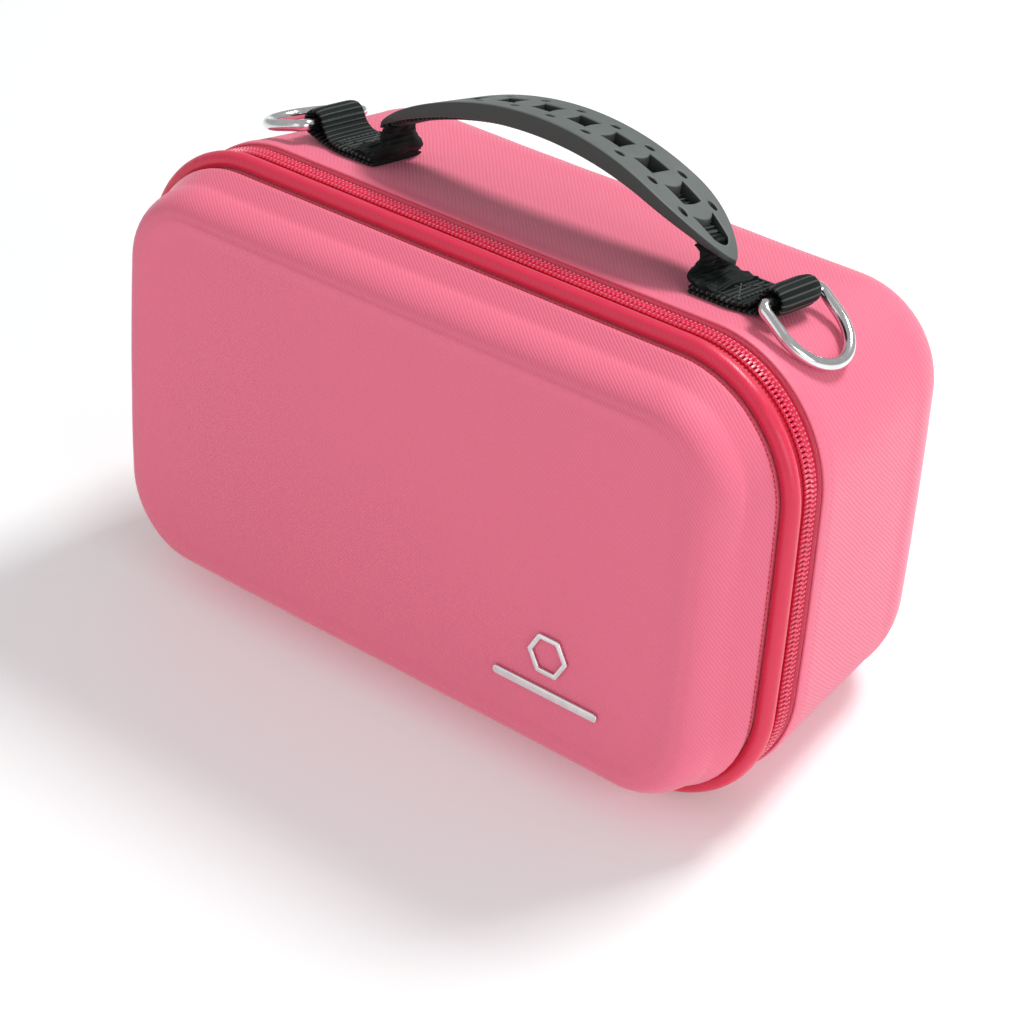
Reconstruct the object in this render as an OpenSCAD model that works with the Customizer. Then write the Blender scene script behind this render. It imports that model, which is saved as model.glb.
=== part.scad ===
// Zip-up hard-shell carry case for miniatures: a shallow front lid and a deep rear body,
// both moulded from fabric-faced foam, hinged along the bottom, with a rubber-gripped
// top handle between two D-rings.
//
// Case axes: X along the width, Y from the front to the back with 0 at the parting plane,
// Z up the front face with 0 at the bottom of the zip line. stand() then leans the case
// back on the drafted floor wall of its body and puts the origin in the middle of that wall.

/* [Case] */
// Width over the zip line
case_w = 220; // [200:1:240]
// Height over the zip line
case_h = 129; // [122:1:140]
// Depth of the body behind the parting plane
body_d = 83.5; // [76:0.5:92]
// Depth of the lid in front of the parting plane
lid_d = 27.5; // [25:0.5:34]
// Corner radius of the zip line
corner_r = 36; // [33:1:40]
// Thickness of the moulded walls
wall_t = 4; // [3.4:0.1:4.6]
// Draft of the body's floor wall, which is how far the standing case leans back
lean = 5; // [4:0.5:6]
// Draft of the body's side walls
side_draft = 8.5; // [7:0.5:10]
// Draft of the body's top wall
top_draft = 4.8; // [3:0.1:6]
// Rounding of the body's rear edges
rear_r = 26; // [20:1:27]
// Rounding of the lid's front edges
front_r = 10; // [7:0.5:12]

/* [Zip and piping] */
// Radius of the piping round the lid
piping_r = 2.8; // [2.4:0.1:2.8]
// Radius of the cord inside the piping
piping_core_r = 1.6; // [1.2:0.1:2]
// Radius of one row of zip coil
coil_r = 1; // [0.8:0.1:1]
// Thickness of the zip tape and of the hinge strip
tape_t = 0.8; // [0.6:0.1:0.8]
// How far the slider travels up the straight side of the case
slider_travel = 40; // [10:1:40]

/* [Handle and D-rings] */
// Distance from the parting plane back to the middle of the straps
strap_y = 23.5; // [20:0.5:28]
// How far the straps and the grip sit to the right of the middle
strap_shift = 5; // [0:1:5]
// Width of the D-ring straps
strap_w = 20; // [18:0.5:20]
// Half the span of the grip
grip_half = 59; // [57:1:60]
// Rise of the grip's top from its tips to its middle
grip_rise = 20.4; // [18:0.2:22]
// Width of the grip
grip_w = 22.5; // [20:0.5:23]
// Thickness of the grip at its middle
grip_t = 5; // [4.5:0.1:6]
// How far the grip leans back from the case's own Z
grip_lean = 9.5; // [5:0.5:12]
// Number of square windows along the grip
window_count = 10; // [6:2:10]
// Radius of the D-ring wire
ring_wire_r = 1.6; // [1.4:0.1:1.6]
// Radius of the D-ring's bow
ring_bow_r = 12.4; // [12.2:0.1:13]
// How far the right D-ring droops at rest, over the rounded edge of the case
ring_droop_right = 36; // [20:1:36]
// How far the left D-ring droops at rest, on the top wall
ring_droop_left = 16; // [8:1:16]

/* [Inside] */
// Thickness of the knitted linings
lining_t = 0.8; // [0.6:0.1:1]
// Thickness of the padded divider
divider_t = 6; // [4:0.5:8]
// Thickness of the hook tape on the divider's edges
hook_t = 1.2; // [1:0.1:1.5]
// Height of the lid pocket's open edge
pocket_h = 78; // [60:1:90]

/* [Hidden] */

fabric_pink = "#F06A8A";
trim_pink = "#D8305A";
lining_grey = "#3A3A3E";
webbing_black = "#1B2020";
rubber_grey = "#4A504E";
metal_silver = "#C8CCD0";

arc_steps = 10;
edge_steps = 6;
round_fn = 64;
hair = 0.02;

half_w = case_w / 2;

// Stations across the parting plane, as distances from it
rim_y = 2.6;
lip_y = 4.3;
binding_y = 7.5;
seam_y = 10.4;
body_straight_y = body_d - rear_r;
lid_straight_y = lid_d - front_r;

// Insets from the zip outline
rim_side_in = 1;
rim_low_in = 0.4;
recess_in = 1.9;
binding_out = 1.2;
lip_in = 3.6;
seam_in = 3.6;
groove_in = 2 * piping_r;
lid_draft_in = 4;
lid_low_in = 3;
body_corner_r = 28;
lid_corner_r = 24;
rim_corner_r = corner_r - rim_side_in;
seam_corner_r = corner_r - seam_in;

// The point of the floor wall that the standing case has its origin at
foot_y = 28;
foot_z = rim_low_in + (foot_y - lip_y) * tan(lean);

module stand() {
    rotate([-lean, 0, 0])
        translate([0, -foot_y, -foot_z])
            children();
}

// ---- Lofted shells ------------------------------------------------------------------

// A station is [y, side inset, low inset, high inset, corner radius].
// Its ring of points runs anticlockwise as seen from the front, from the right side.
function corner_x(s, q) = (q == 0 || q == 3 ? 1 : -1) * (half_w - s[1] - s[4]);
function corner_z(s, q) = q < 2 ? case_h - s[3] - s[4] : s[2] + s[4];
function ring(s) = [
    for (q = [0:3])
        for (i = [0:arc_steps])
            let (a = 90 * q + 90 * i / arc_steps)
                [corner_x(s, q) + s[4] * cos(a), s[0], corner_z(s, q) + s[4] * sin(a)]
];

// A closed skin through a list of stations: the first and the last ring are capped.
module loft(stations) {
    rings = [for (s = stations) ring(s)];
    n = len(rings[0]);
    last = (len(rings) - 1) * n;
    first_cap = [[for (i = [n - 1:-1:0]) i]];
    last_cap = [[for (i = [0:n - 1]) last + i]];
    skin = [
        for (k = [0:len(rings) - 2])
            for (i = [0:n - 1])
                let (j = (i + 1) % n, a = k * n, b = a + n)
                    each [[a + i, a + j, b + j], [a + i, b + j, b + i]]
    ];
    polyhedron(points = [for (r = rings) each r], faces = concat(first_cap, skin, last_cap));
}

// Stations grown inwards by t, with the depth left as it is.
function inset(s, t) = [s[0], s[1] + t, s[2] + t, s[3] + t, max(s[4] - t, 1)];

// Quarter-round from a wall's last straight station onto a flat end, inwards by t.
function round_end(s, r, t) = [
    for (i = [1:edge_steps])
        let (a = 90 * i / edge_steps, grow = (r - t) * (1 - cos(a)))
            inset([s[0] + (r - t) * sin(a), s[1], s[2], s[3], s[4]], t + grow)
];

function reversed(list) = [for (i = [len(list) - 1:-1:0]) list[i]];

// Drafted wall of the body at depth y
function body_wall(y) =
    let (run = y - lip_y, share = run / (body_straight_y - lip_y))
        [y, rim_side_in + run * tan(side_draft), rim_low_in + run * tan(lean),
            rim_side_in + run * tan(top_draft),
            rim_corner_r + share * (body_corner_r - rim_corner_r)];

// The same inset all round at depth y
function even(y, t, r) = [y, t, t, t, r];

body_end = body_wall(body_straight_y);
body_rim = body_wall(lip_y);
lid_end = [lid_straight_y, seam_in + lid_draft_in, seam_in + lid_low_in,
    seam_in + lid_draft_in, lid_corner_r];
lid_seam = even(seam_y, seam_in, seam_corner_r);

// Inner faces of the two shells from the lip inwards, and their mouths in front of it
function body_inner(t) = concat(
    [inset(body_rim, t), inset(body_end, t)],
    round_end(body_end, rear_r, t));

function lid_inner(t) = concat(
    [inset(even(lip_y, seam_in, seam_corner_r), t), inset(lid_seam, t), inset(lid_end, t)],
    round_end(lid_end, front_r, t));

function mouth(s, t) = inset([rim_y, s[1], s[2], s[3], s[4]], t);

module body_shell() {
    outer = concat(
        [even(rim_y, lip_in, corner_r - lip_in)],
        [even(lip_y, lip_in, corner_r - lip_in)],
        [even(lip_y, recess_in, corner_r - recess_in)],
        [even(binding_y, recess_in, corner_r - recess_in)],
        [body_wall(binding_y)],
        [body_end],
        round_end(body_end, rear_r, 0));
    color(fabric_pink)
        stand()
            loft(concat(reversed(outer), [mouth(body_rim, wall_t)], body_inner(wall_t)));
}

module body_lining() {
    outer = body_inner(wall_t);
    inner = body_inner(wall_t + lining_t);
    color(lining_grey)
        stand()
            loft(concat(reversed(outer), inner));
}

module lid_shell() {
    outer = concat(
        [even(rim_y, lip_in, corner_r - lip_in)],
        [even(lip_y, lip_in, corner_r - lip_in)],
        [even(lip_y, groove_in, corner_r - groove_in)],
        [even(seam_y, groove_in, corner_r - groove_in)],
        [lid_seam],
        [lid_end],
        round_end(lid_end, front_r, 0));
    color(fabric_pink)
        stand()
            mirror([0, 1, 0])
                loft(concat(reversed(outer), [mouth(lid_seam, wall_t)], lid_inner(wall_t)));
}

module lid_lining() {
    outer = lid_inner(wall_t);
    inner = lid_inner(wall_t + lining_t);
    color(lining_grey)
        stand()
            mirror([0, 1, 0])
                loft(concat(reversed(outer), inner));
}

// ---- Bands that follow the zip outline ----------------------------------------------

// Sweeps a profile round the outline. The profile's x is the distance out from the
// outline and its y the distance in front of the parting plane. Without the floor run
// the band stops where the bottom corners end.
module band(floor_run) {
    run_x = half_w - corner_r;
    low_z = corner_r;
    high_z = case_h - corner_r;
    rotate([90, 0, 0]) {
        for (q = [0:3])
            translate([(q == 0 || q == 3 ? 1 : -1) * run_x, q < 2 ? high_z : low_z, 0])
                rotate([0, 0, 90 * q])
                    rotate_extrude(angle = 90, $fn = round_fn)
                        translate([corner_r, 0])
                            children();
        for (side = [-1, 1])
            translate([side * half_w, side > 0 ? high_z : low_z, 0])
                rotate([0, 0, side > 0 ? 0 : 180])
                    rotate([90, 0, 0])
                        linear_extrude(height = high_z - low_z)
                            children();
        translate([-run_x, case_h, 0])
            rotate([0, 0, 90])
                rotate([90, 0, 0])
                    linear_extrude(height = 2 * run_x)
                        children();
        if (floor_run)
            translate([run_x, 0, 0])
                rotate([0, 0, -90])
                    rotate([90, 0, 0])
                        linear_extrude(height = 2 * run_x)
                            children();
    }
}

tape_out = -lip_in + tape_t;
tape_edge_y = 0.5;
coil_gap = 0.25;
coil_y = coil_gap + coil_r;
coil_out = tape_out + coil_r;
piping_gap = 0.05;
piping_y = lip_y + piping_gap + piping_r;
piping_out = -groove_in + piping_r + hair;

module body_rim_binding() {
    color(trim_pink)
        stand()
            band(true)
                translate([-recess_in + hair, -binding_y])
                    square([recess_in - binding_out, binding_y - lip_y]);
}

module zip_tape_body() {
    color(trim_pink)
        stand()
            band(false)
                translate([-lip_in + hair, -lip_y])
                    square([tape_t, lip_y - tape_edge_y]);
}

module zip_tape_lid() {
    color(trim_pink)
        stand()
            band(false)
                translate([-lip_in + hair, tape_edge_y])
                    square([tape_t, lip_y - tape_edge_y]);
}

module coil_row(side) {
    color(trim_pink)
        stand()
            band(false)
                translate([coil_out + 2 * hair, side * coil_y])
                    circle(r = coil_r, $fn = round_fn);
}

module zip_coil_body() {
    coil_row(-1);
}

module zip_coil_lid() {
    coil_row(1);
}

module lid_piping_sleeve() {
    color(trim_pink)
        stand()
            band(true)
                translate([piping_out, piping_y])
                    difference() {
                        circle(r = piping_r, $fn = round_fn);
                        circle(r = piping_core_r + hair, $fn = round_fn);
                    }
}

module lid_piping_core() {
    color("white")
        stand()
            band(true)
                translate([piping_out, piping_y])
                    circle(r = piping_core_r, $fn = round_fn);
}

// Crimped metal stops where the coil ends at the bottom corners
stop_len = 4;
stop_t = 1.9;

module zip_end_stops() {
    color(metal_silver)
        stand()
            for (side = [-1, 1])
                translate([side * (half_w - corner_r - stop_len / 2 - 2 * hair), coil_y,
                    lip_in - tape_t - stop_t / 2 - 2 * hair])
                    cube([stop_len, 2 * coil_r, stop_t], center = true);
}

// Fabric hinge: half of it is on each side of the parting plane
hinge_gap = 0.2;

module hinge_half(side) {
    run = 2 * (half_w - corner_r) - 4 * hair;
    color(trim_pink)
        stand()
            translate([0, side * (lip_y + hinge_gap) / 2, lip_in - tape_t / 2 - hair])
                cube([run, lip_y - hinge_gap, tape_t], center = true);
}

module hinge_strip_body() {
    hinge_half(1);
}

module hinge_strip_lid() {
    hinge_half(-1);
}

// ---- Straps and D-rings on the top wall ---------------------------------------------

anchor_t = 2.6;
anchor_in_x = 51.5;
anchor_out_x = 72;
loop_x = 76;
loop_z = 5.2;
loop_r = 4;
loop_clearance = 0.4;
// Faces of the fold that lifts the strap into its rolled loop
fold_x = 69;
fold_low = [77, 1.2];
fold_high = [74, 8.5];
top_wall_z = case_h - rim_side_in - (strap_y - lip_y) * tan(top_draft);

// Frame on the drafted top wall, midway between the straps, mirrored for the left
module on_top(side) {
    stand()
        translate([strap_shift, strap_y, top_wall_z])
            rotate([-top_draft, 0, 0])
                mirror([side < 0 ? 1 : 0, 0, 0])
                    children();
}

module strap_anchor(side) {
    color(webbing_black)
        on_top(side)
            translate([0, strap_w / 2, hair]) {
                rotate([90, 0, 0])
                    linear_extrude(height = strap_w)
                        difference() {
                            union() {
                                translate([anchor_in_x, 0])
                                    square([anchor_out_x - anchor_in_x, anchor_t]);
                                polygon([[fold_x, 0], fold_low, fold_high, [fold_x, anchor_t]]);
                                translate([loop_x, loop_z])
                                    circle(r = loop_r, $fn = round_fn);
                            }
                            translate([loop_x, loop_z])
                                circle(r = ring_wire_r + loop_clearance, $fn = round_fn);
                        }
            }
}

module strap_anchor_left() {
    strap_anchor(-1);
}

module strap_anchor_right() {
    strap_anchor(1);
}

// Boxed-X stitching through each anchor
stitch_w = 0.5;
stitch_t = 0.35;
stitch_in = 1.6;
stitch_x0 = 56;
stitch_x1 = 67;

module stitch_line(length) {
    translate([-length / 2, -stitch_w / 2, 0])
        cube([length, stitch_w, stitch_t]);
}

module anchor_stitches() {
    box_l = stitch_x1 - stitch_x0;
    box_w = strap_w - 2 * stitch_in;
    cross_l = sqrt(box_l * box_l + box_w * box_w);
    cross_a = atan(box_w / box_l);
    color("#30383A")
        for (side = [-1, 1])
            on_top(side)
                translate([(stitch_x0 + stitch_x1) / 2, 0, anchor_t + 2 * hair]) {
                    for (edge = [-1, 1]) {
                        translate([0, edge * box_w / 2, 0])
                            stitch_line(box_l);
                        translate([edge * box_l / 2, 0, 0])
                            rotate([0, 0, 90])
                                stitch_line(box_w);
                        rotate([0, 0, edge * cross_a])
                            stitch_line(cross_l);
                    }
                }
}

ring_arm = 8;

module d_ring(side, droop) {
    color(metal_silver)
        on_top(side)
            translate([loop_x, 0, loop_z + hair])
                rotate([0, droop, 0]) {
                    rotate([90, 0, 0])
                        cylinder(r = ring_wire_r, h = 2 * ring_bow_r, center = true, $fn = round_fn);
                    for (edge = [-1, 1])
                        translate([0, edge * ring_bow_r, 0]) {
                            sphere(r = ring_wire_r, $fn = round_fn);
                            rotate([0, 90, 0])
                                cylinder(r = ring_wire_r, h = ring_arm, $fn = round_fn);
                        }
                    translate([ring_arm, 0, 0])
                        rotate([0, 0, -90])
                            rotate_extrude(angle = 180, $fn = round_fn)
                                translate([ring_bow_r, 0])
                                    circle(r = ring_wire_r, $fn = round_fn);
                }
}

module d_ring_left() {
    d_ring(-1, ring_droop_left);
}

module d_ring_right() {
    d_ring(1, ring_droop_right);
}

// ---- Handle -------------------------------------------------------------------------

pivot_h = 3.6;
tip_h = 5;
tip_t = 1.2;
apex_h = tip_h + grip_rise;
under_rise = grip_rise - grip_t + tip_t;
top_r = (grip_half * grip_half + grip_rise * grip_rise) / (2 * grip_rise);
under_r = (grip_half * grip_half + under_rise * under_rise) / (2 * under_rise);
top_c = apex_h - top_r;
under_c = apex_h - grip_t - under_r;
taper_x = 36;
taper_power = 0.75;
webbing_w = 15;
webbing_t = 1.8;
webbing_in = 0.6;
webbing_gap = 0.15;
// The webbing narrows beyond neck_x, and its legs stand at leg_x
neck_x = 44;
neck_w = 10;
leg_x = 52.1;
leg_foot = 0.4;
leg_foot_w = 2.4;
window_pitch = 11.7;
window_l = 6.6;
window_w = 8;
vent_y = 6.3;
vent_r = 1.2;
plan_step = 2;

// Frame at the hinge line of the straps' necks, leaning back as the grip rests
module at_grip() {
    stand()
        translate([strap_shift, strap_y, top_wall_z + pivot_h])
            rotate([-grip_lean, 0, 0])
                children();
}

// Half width of the grip at x: full in the middle, then tapering to a point
function grip_edge(x) =
    let (t = max(abs(x) - taper_x, 0) / (grip_half - taper_x))
        grip_w / 2 * pow(max(1 - t * t, 0), taper_power);

// Place of the window k pitches along the grip's top from its middle
function window_x(k) = top_r * sin(k * window_pitch / top_r * 180 / PI);

module grip_plan() {
    xs = [for (x = [-grip_half:plan_step:grip_half]) x];
    polygon(concat([for (x = xs) [x, -grip_edge(x) - hair]],
        [for (x = reversed(xs)) [x, grip_edge(x) + hair]]));
}

module arch_disc(radius, centre_z) {
    translate([0, 0, centre_z])
        rotate([90, 0, 0])
            cylinder(r = radius, h = 2 * grip_w, center = true, $fn = 2 * round_fn);
}

module webbing_arch(extra) {
    end_x = leg_x + webbing_t + extra;
    half = webbing_w / 2 + extra;
    half_end = neck_w / 2 + extra;
    intersection() {
        difference() {
            arch_disc(under_r + webbing_in + extra, under_c);
            arch_disc(under_r + webbing_in - webbing_t - extra, under_c);
        }
        linear_extrude(height = 2 * apex_h)
            polygon([[-end_x, -half_end], [-neck_x, -half], [neck_x, -half], [end_x, -half_end],
                [end_x, half_end], [neck_x, half], [-neck_x, half], [-end_x, half_end]]);
    }
}

module handle_grip() {
    color(rubber_grey)
        at_grip()
            difference() {
                intersection() {
                    linear_extrude(height = 2 * apex_h)
                        grip_plan();
                    arch_disc(top_r, top_c);
                }
                arch_disc(under_r, under_c);
                webbing_arch(webbing_gap);
                for (i = [0:window_count - 1])
                    translate([window_x(i - (window_count - 1) / 2), 0, apex_h])
                        cube([window_l, window_w, 2 * apex_h], center = true);
                for (i = [0:window_count - 2])
                    for (edge = [-1, 1])
                        translate([window_x(i - (window_count - 2) / 2), edge * vent_y, 0])
                            cylinder(r = vent_r, h = 2 * apex_h, $fn = round_fn);
            }
}

// The necks narrow to the hinge line, where they fold
module handle_webbing() {
    leg_top = under_c + sqrt(pow(under_r, 2) - pow(leg_x, 2)) - webbing_t / 2;
    color(webbing_black)
        at_grip() {
            webbing_arch(0);
            for (side = [-1, 1])
                translate([side > 0 ? leg_x : -leg_x - webbing_t, 0, 0])
                    rotate([90, 0, 90])
                        linear_extrude(height = webbing_t)
                            polygon([[-leg_foot_w / 2, leg_foot], [leg_foot_w / 2, leg_foot],
                                [neck_w / 2, leg_top], [-neck_w / 2, leg_top]]);
        }
}

// ---- Slider and pull on the left side -----------------------------------------------

slider_z = 40;
slider_l = 11;
slider_w = 6.6;
slider_t = 1.4;
slider_lift = 0.3;
slider_out = coil_out + coil_r + slider_lift;
slider_nose = 2;
flange_y = 2.55;
flange_t = 0.7;
flange_depth = 1.7;
pin_r = 0.8;
pin_z = slider_z + 4.4;
cheek_y = 2.1;
cheek_t = 0.9;
cheek_w = 2.2;
pull_l = 22;
pull_w = 7;
pull_t = 1.3;
pull_shoulder = 4.5;
pull_slot_w = 2.8;
pull_slot_l = 12;
eye_r = 1.7;
eye_w = 3.9;
eye_clearance = 0.15;
pin_clearance = 0.2;
pin_out = slider_out + slider_t + eye_r + pin_clearance;

// Frame on the left side of the outline: local x is the distance out from it
module on_left() {
    stand()
        mirror([1, 0, 0])
            translate([half_w, 0, 0])
                children();
}

module slider_plan() {
    side = slider_w / 2;
    end = side - slider_nose;
    high = slider_l - slider_nose;
    polygon([[-side, slider_nose], [-end, 0], [end, 0], [side, slider_nose],
        [side, high], [end, slider_l], [-end, slider_l], [-side, high]]);
}

module zip_slider() {
    color(metal_silver)
        on_left() {
            translate([slider_out, 0, slider_z])
                rotate([90, 0, 90])
                    linear_extrude(height = slider_t)
                        slider_plan();
            translate([slider_out - flange_depth, flange_y, slider_z + slider_nose])
                cube([flange_depth + hair, flange_t, slider_l - 2 * slider_nose]);
            for (edge = [-1, 1])
                translate([slider_out + slider_t - hair, edge * (cheek_y + cheek_t / 2) - cheek_t / 2,
                    pin_z - cheek_w / 2])
                    cube([eye_r + pin_clearance + cheek_w / 2, cheek_t, cheek_w]);
            translate([pin_out, 0, pin_z])
                rotate([90, 0, 0])
                    cylinder(r = pin_r, h = 2 * (cheek_y + cheek_t / 2), center = true, $fn = round_fn);
        }
}

module zip_pull() {
    color(metal_silver)
        on_left()
            translate([pin_out, 0, pin_z])
                difference() {
                    union() {
                        rotate([90, 0, 0])
                            cylinder(r = eye_r, h = eye_w, center = true, $fn = round_fn);
                        translate([-pull_t / 2, -eye_w / 2, -pull_shoulder - hair])
                            cube([pull_t, eye_w, pull_shoulder + hair]);
                        translate([-pull_t / 2, -pull_w / 2, -pull_l])
                            cube([pull_t, pull_w, pull_l - pull_shoulder]);
                        translate([0, 0, -pull_l])
                            rotate([0, 90, 0])
                                cylinder(r = pull_w / 2, h = pull_t, center = true, $fn = round_fn);
                    }
                    rotate([90, 0, 0])
                        cylinder(r = pin_r + eye_clearance, h = 2 * eye_w, center = true, $fn = round_fn);
                    translate([-pull_t, -pull_slot_w / 2, -pull_l])
                        cube([2 * pull_t, pull_slot_w, pull_slot_l]);
                }
}

// ---- Divider and lid pocket ---------------------------------------------------------

divider_gap = 0.4;
divider_front_y = 9;
divider_in = wall_t + lining_t + divider_gap;

// Outline of the compartment in the YZ plane, grown inwards by t from the body's outside
function divider_outline(t) =
    let (low_1 = rim_low_in + t + (divider_front_y - lip_y) * tan(lean),
        low_2 = body_end[2] + t,
        high_1 = case_h - rim_side_in - t - (divider_front_y - lip_y) * tan(top_draft),
        high_2 = case_h - body_end[3] - t,
        r = rear_r - t)
        concat(
            [[divider_front_y + t - divider_in, low_1]],
            [for (i = [0:edge_steps])
                let (a = 90 * i / edge_steps)
                    [body_straight_y + r * sin(a), low_2 + r * (1 - cos(a))]],
            [for (i = [edge_steps:-1:0])
                let (a = 90 * i / edge_steps)
                    [body_straight_y + r * sin(a), high_2 - r * (1 - cos(a))]],
            [[divider_front_y + t - divider_in, high_1]]);

module divider_slab(t, thickness) {
    translate([-thickness / 2, 0, 0])
        rotate([90, 0, 90])
            linear_extrude(height = thickness)
                polygon(divider_outline(t));
}

module divider_board() {
    color("#4A4A50")
        stand()
            divider_slab(divider_in + hook_t + hair, divider_t);
}

module divider_hook_edge() {
    color("#26262A")
        stand()
            difference() {
                divider_slab(divider_in, divider_t);
                translate([0, -2 * hook_t, 0])
                    divider_slab(divider_in + hook_t, 2 * divider_t);
                divider_slab(divider_in + hook_t, 2 * divider_t);
            }
}

pocket_y = 9;
pocket_t = 1;
pocket_gap = 0.3;
pocket_in = seam_in + wall_t + lining_t + pocket_gap;
elastic_h = 9;
elastic_t = 1.8;

module pocket_plan() {
    w = case_w - 2 * pocket_in;
    h = case_h - 2 * pocket_in;
    r = seam_corner_r - wall_t - lining_t;
    translate([-w / 2, pocket_in + r])
        square([w, h - 2 * r]);
    translate([-w / 2 + r, pocket_in])
        square([w - 2 * r, h]);
    for (x = [-1, 1])
        for (z = [pocket_in + r, pocket_in + h - r])
            translate([x * (w / 2 - r), z])
                circle(r = r, $fn = round_fn);
}

module pocket_slice(z0, z1, t) {
    stand()
        translate([0, -pocket_y + t / 2, 0])
            rotate([90, 0, 0])
                intersection() {
                    linear_extrude(height = t)
                        pocket_plan();
                    translate([-half_w, z0, 0])
                        cube([case_w, z1 - z0, t]);
                }
}

module lid_pocket_panel() {
    color("#26262A")
        pocket_slice(0, pocket_h - elastic_h, pocket_t);
}

module lid_pocket_elastic() {
    color("#1A1A1C")
        pocket_slice(pocket_h - elastic_h + hair, pocket_h, elastic_t);
}

// ---- Emblem on the lid --------------------------------------------------------------

emblem_x = 55;
emblem_t = 0.8;
hexagon_z = 39;
hexagon_r = 6.5;
hexagon_band = 1.6;
bar_z = 28;
bar_l = 34;
bar_h = 2.4;

module on_lid_face(z) {
    color(metal_silver)
        stand()
            translate([emblem_x, -lid_d - hair, z])
                rotate([90, 0, 0])
                    linear_extrude(height = emblem_t)
                        children();
}

module emblem_hexagon() {
    on_lid_face(hexagon_z)
        difference() {
            circle(r = hexagon_r, $fn = 6);
            circle(r = hexagon_r - hexagon_band, $fn = 6);
        }
}

module emblem_bar() {
    on_lid_face(bar_z)
        square([bar_l, bar_h], center = true);
}

body_shell();
body_lining();
body_rim_binding();
zip_tape_body();
zip_coil_body();
zip_end_stops();
hinge_strip_body();
strap_anchor_left();
strap_anchor_right();
anchor_stitches();
d_ring_left();
d_ring_right();
handle_grip();
handle_webbing();
zip_slider();
zip_pull();
divider_board();
divider_hook_edge();
lid_shell();
lid_lining();
lid_piping_sleeve();
lid_piping_core();
zip_tape_lid();
zip_coil_lid();
hinge_strip_lid();
lid_pocket_panel();
lid_pocket_elastic();
emblem_hexagon();
emblem_bar();
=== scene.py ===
import math

import bmesh
import bpy
from mathutils import Matrix, Vector, noise


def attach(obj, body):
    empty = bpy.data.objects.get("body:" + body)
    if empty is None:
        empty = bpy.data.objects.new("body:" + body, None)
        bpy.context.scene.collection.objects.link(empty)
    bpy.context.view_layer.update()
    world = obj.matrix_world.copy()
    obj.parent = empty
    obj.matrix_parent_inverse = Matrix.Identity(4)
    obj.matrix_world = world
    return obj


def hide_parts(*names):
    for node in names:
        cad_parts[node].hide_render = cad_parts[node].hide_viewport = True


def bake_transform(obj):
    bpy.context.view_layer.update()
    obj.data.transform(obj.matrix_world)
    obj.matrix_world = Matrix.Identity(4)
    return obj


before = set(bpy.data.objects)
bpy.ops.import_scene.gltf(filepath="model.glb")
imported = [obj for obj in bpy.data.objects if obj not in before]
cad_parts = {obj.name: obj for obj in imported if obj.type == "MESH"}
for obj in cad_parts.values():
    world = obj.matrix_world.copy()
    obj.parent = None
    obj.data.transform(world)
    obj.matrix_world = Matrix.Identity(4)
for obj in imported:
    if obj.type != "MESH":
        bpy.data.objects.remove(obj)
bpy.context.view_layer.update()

MM = 0.001


def tan_deg(deg):
    return math.tan(math.radians(deg))


# Millimetres, as in part.scad except the piping. Below, t is an inset and d a distance outwards.
HALF_W, CASE_H, BODY_D, LID_D = 110.0, 129.0, 83.5, 27.5
CORNER_R, WALL_T, LINING_T = 36.0, 4.0, 0.8
LEAN, SIDE_DRAFT, TOP_DRAFT = 5.0, 8.5, 4.8
REAR_R, FRONT_R = 26.0, 10.0
RIM_Y, LIP_Y, BINDING_Y, SEAM_Y = 2.6, 4.3, 7.5, 10.4
BODY_STRAIGHT_Y, LID_STRAIGHT_Y = BODY_D - REAR_R, LID_D - FRONT_R
RIM_SIDE, RIM_LOW, RECESS_IN, LIP_IN, SEAM_IN, GROOVE_IN = 1.0, 0.4, 1.9, 3.6, 3.6, 5.0
BODY_END_R, LID_END_R = 28.0, 24.0
RIM_R = CORNER_R - RIM_SIDE
FOOT_Y = 28.0
FOOT_Z = RIM_LOW + (FOOT_Y - LIP_Y) * tan_deg(LEAN)
STRAP_Y, STRAP_W, STRAP_SHIFT = 23.5, 20.0, 5.0
TOP_Z = CASE_H - RIM_SIDE - (STRAP_Y - LIP_Y) * tan_deg(TOP_DRAFT)
TAPE_T, COIL_R = 0.8, 1.0
TAPE_OUT = -LIP_IN + TAPE_T
PIPING_R, PIPING_CORE_R = 2.4, 1.6
PIPING_Y, PIPING_OUT = 7.1, -2.7
MID_Z = CASE_H / 2

# How far each side swells at mid height, and how far its corners pull in
CROWN, CORNER_PULL = 1.5, 0.5
LEFT_CROWN, LEFT_PULL = 2.7, 3.0


def rot_x(deg):
    return Matrix.Rotation(math.radians(deg), 4, "X")


def shift(x, y, z):
    return Matrix.Translation((x, y, z))


MIRROR = Matrix.Diagonal((-1.0, 1.0, 1.0, 1.0))
CASE = rot_x(-LEAN) @ shift(0, -FOOT_Y, -FOOT_Z)


def on_top(side):
    """Frame of the top wall under the strap, mirrored for the left side."""
    flip = MIRROR if side < 0 else Matrix.Identity(4)
    return CASE @ shift(STRAP_SHIFT, STRAP_Y, TOP_Z) @ rot_x(-TOP_DRAFT) @ flip


PIVOT_H, GRIP_LEAN = 3.6, 9.5
AT_GRIP = CASE @ shift(STRAP_SHIFT, STRAP_Y, TOP_Z + PIVOT_H) @ rot_x(-GRIP_LEAN)


def crown(x, z):
    """Bends x of a side wall outwards at mid height and inwards at its corners."""
    t = (z - MID_Z) / MID_Z
    swell, pull = (CROWN, CORNER_PULL) if x > 0 else (LEFT_CROWN, LEFT_PULL)
    return x * (1 + (swell * (1 - t * t) - pull) / HALF_W)


def lerp(a, b, t):
    return a + (b - a) * t


def smooth(t):
    t = min(max(t, 0.0), 1.0)
    return t * t * (3 - 2 * t)


# ---- Materials ----

def srgb(r, g, b):
    def lin(v):
        v /= 255.0
        return v / 12.92 if v <= 0.04045 else ((v + 0.055) / 1.055) ** 2.4
    return (lin(r), lin(g), lin(b), 1.0)


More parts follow.
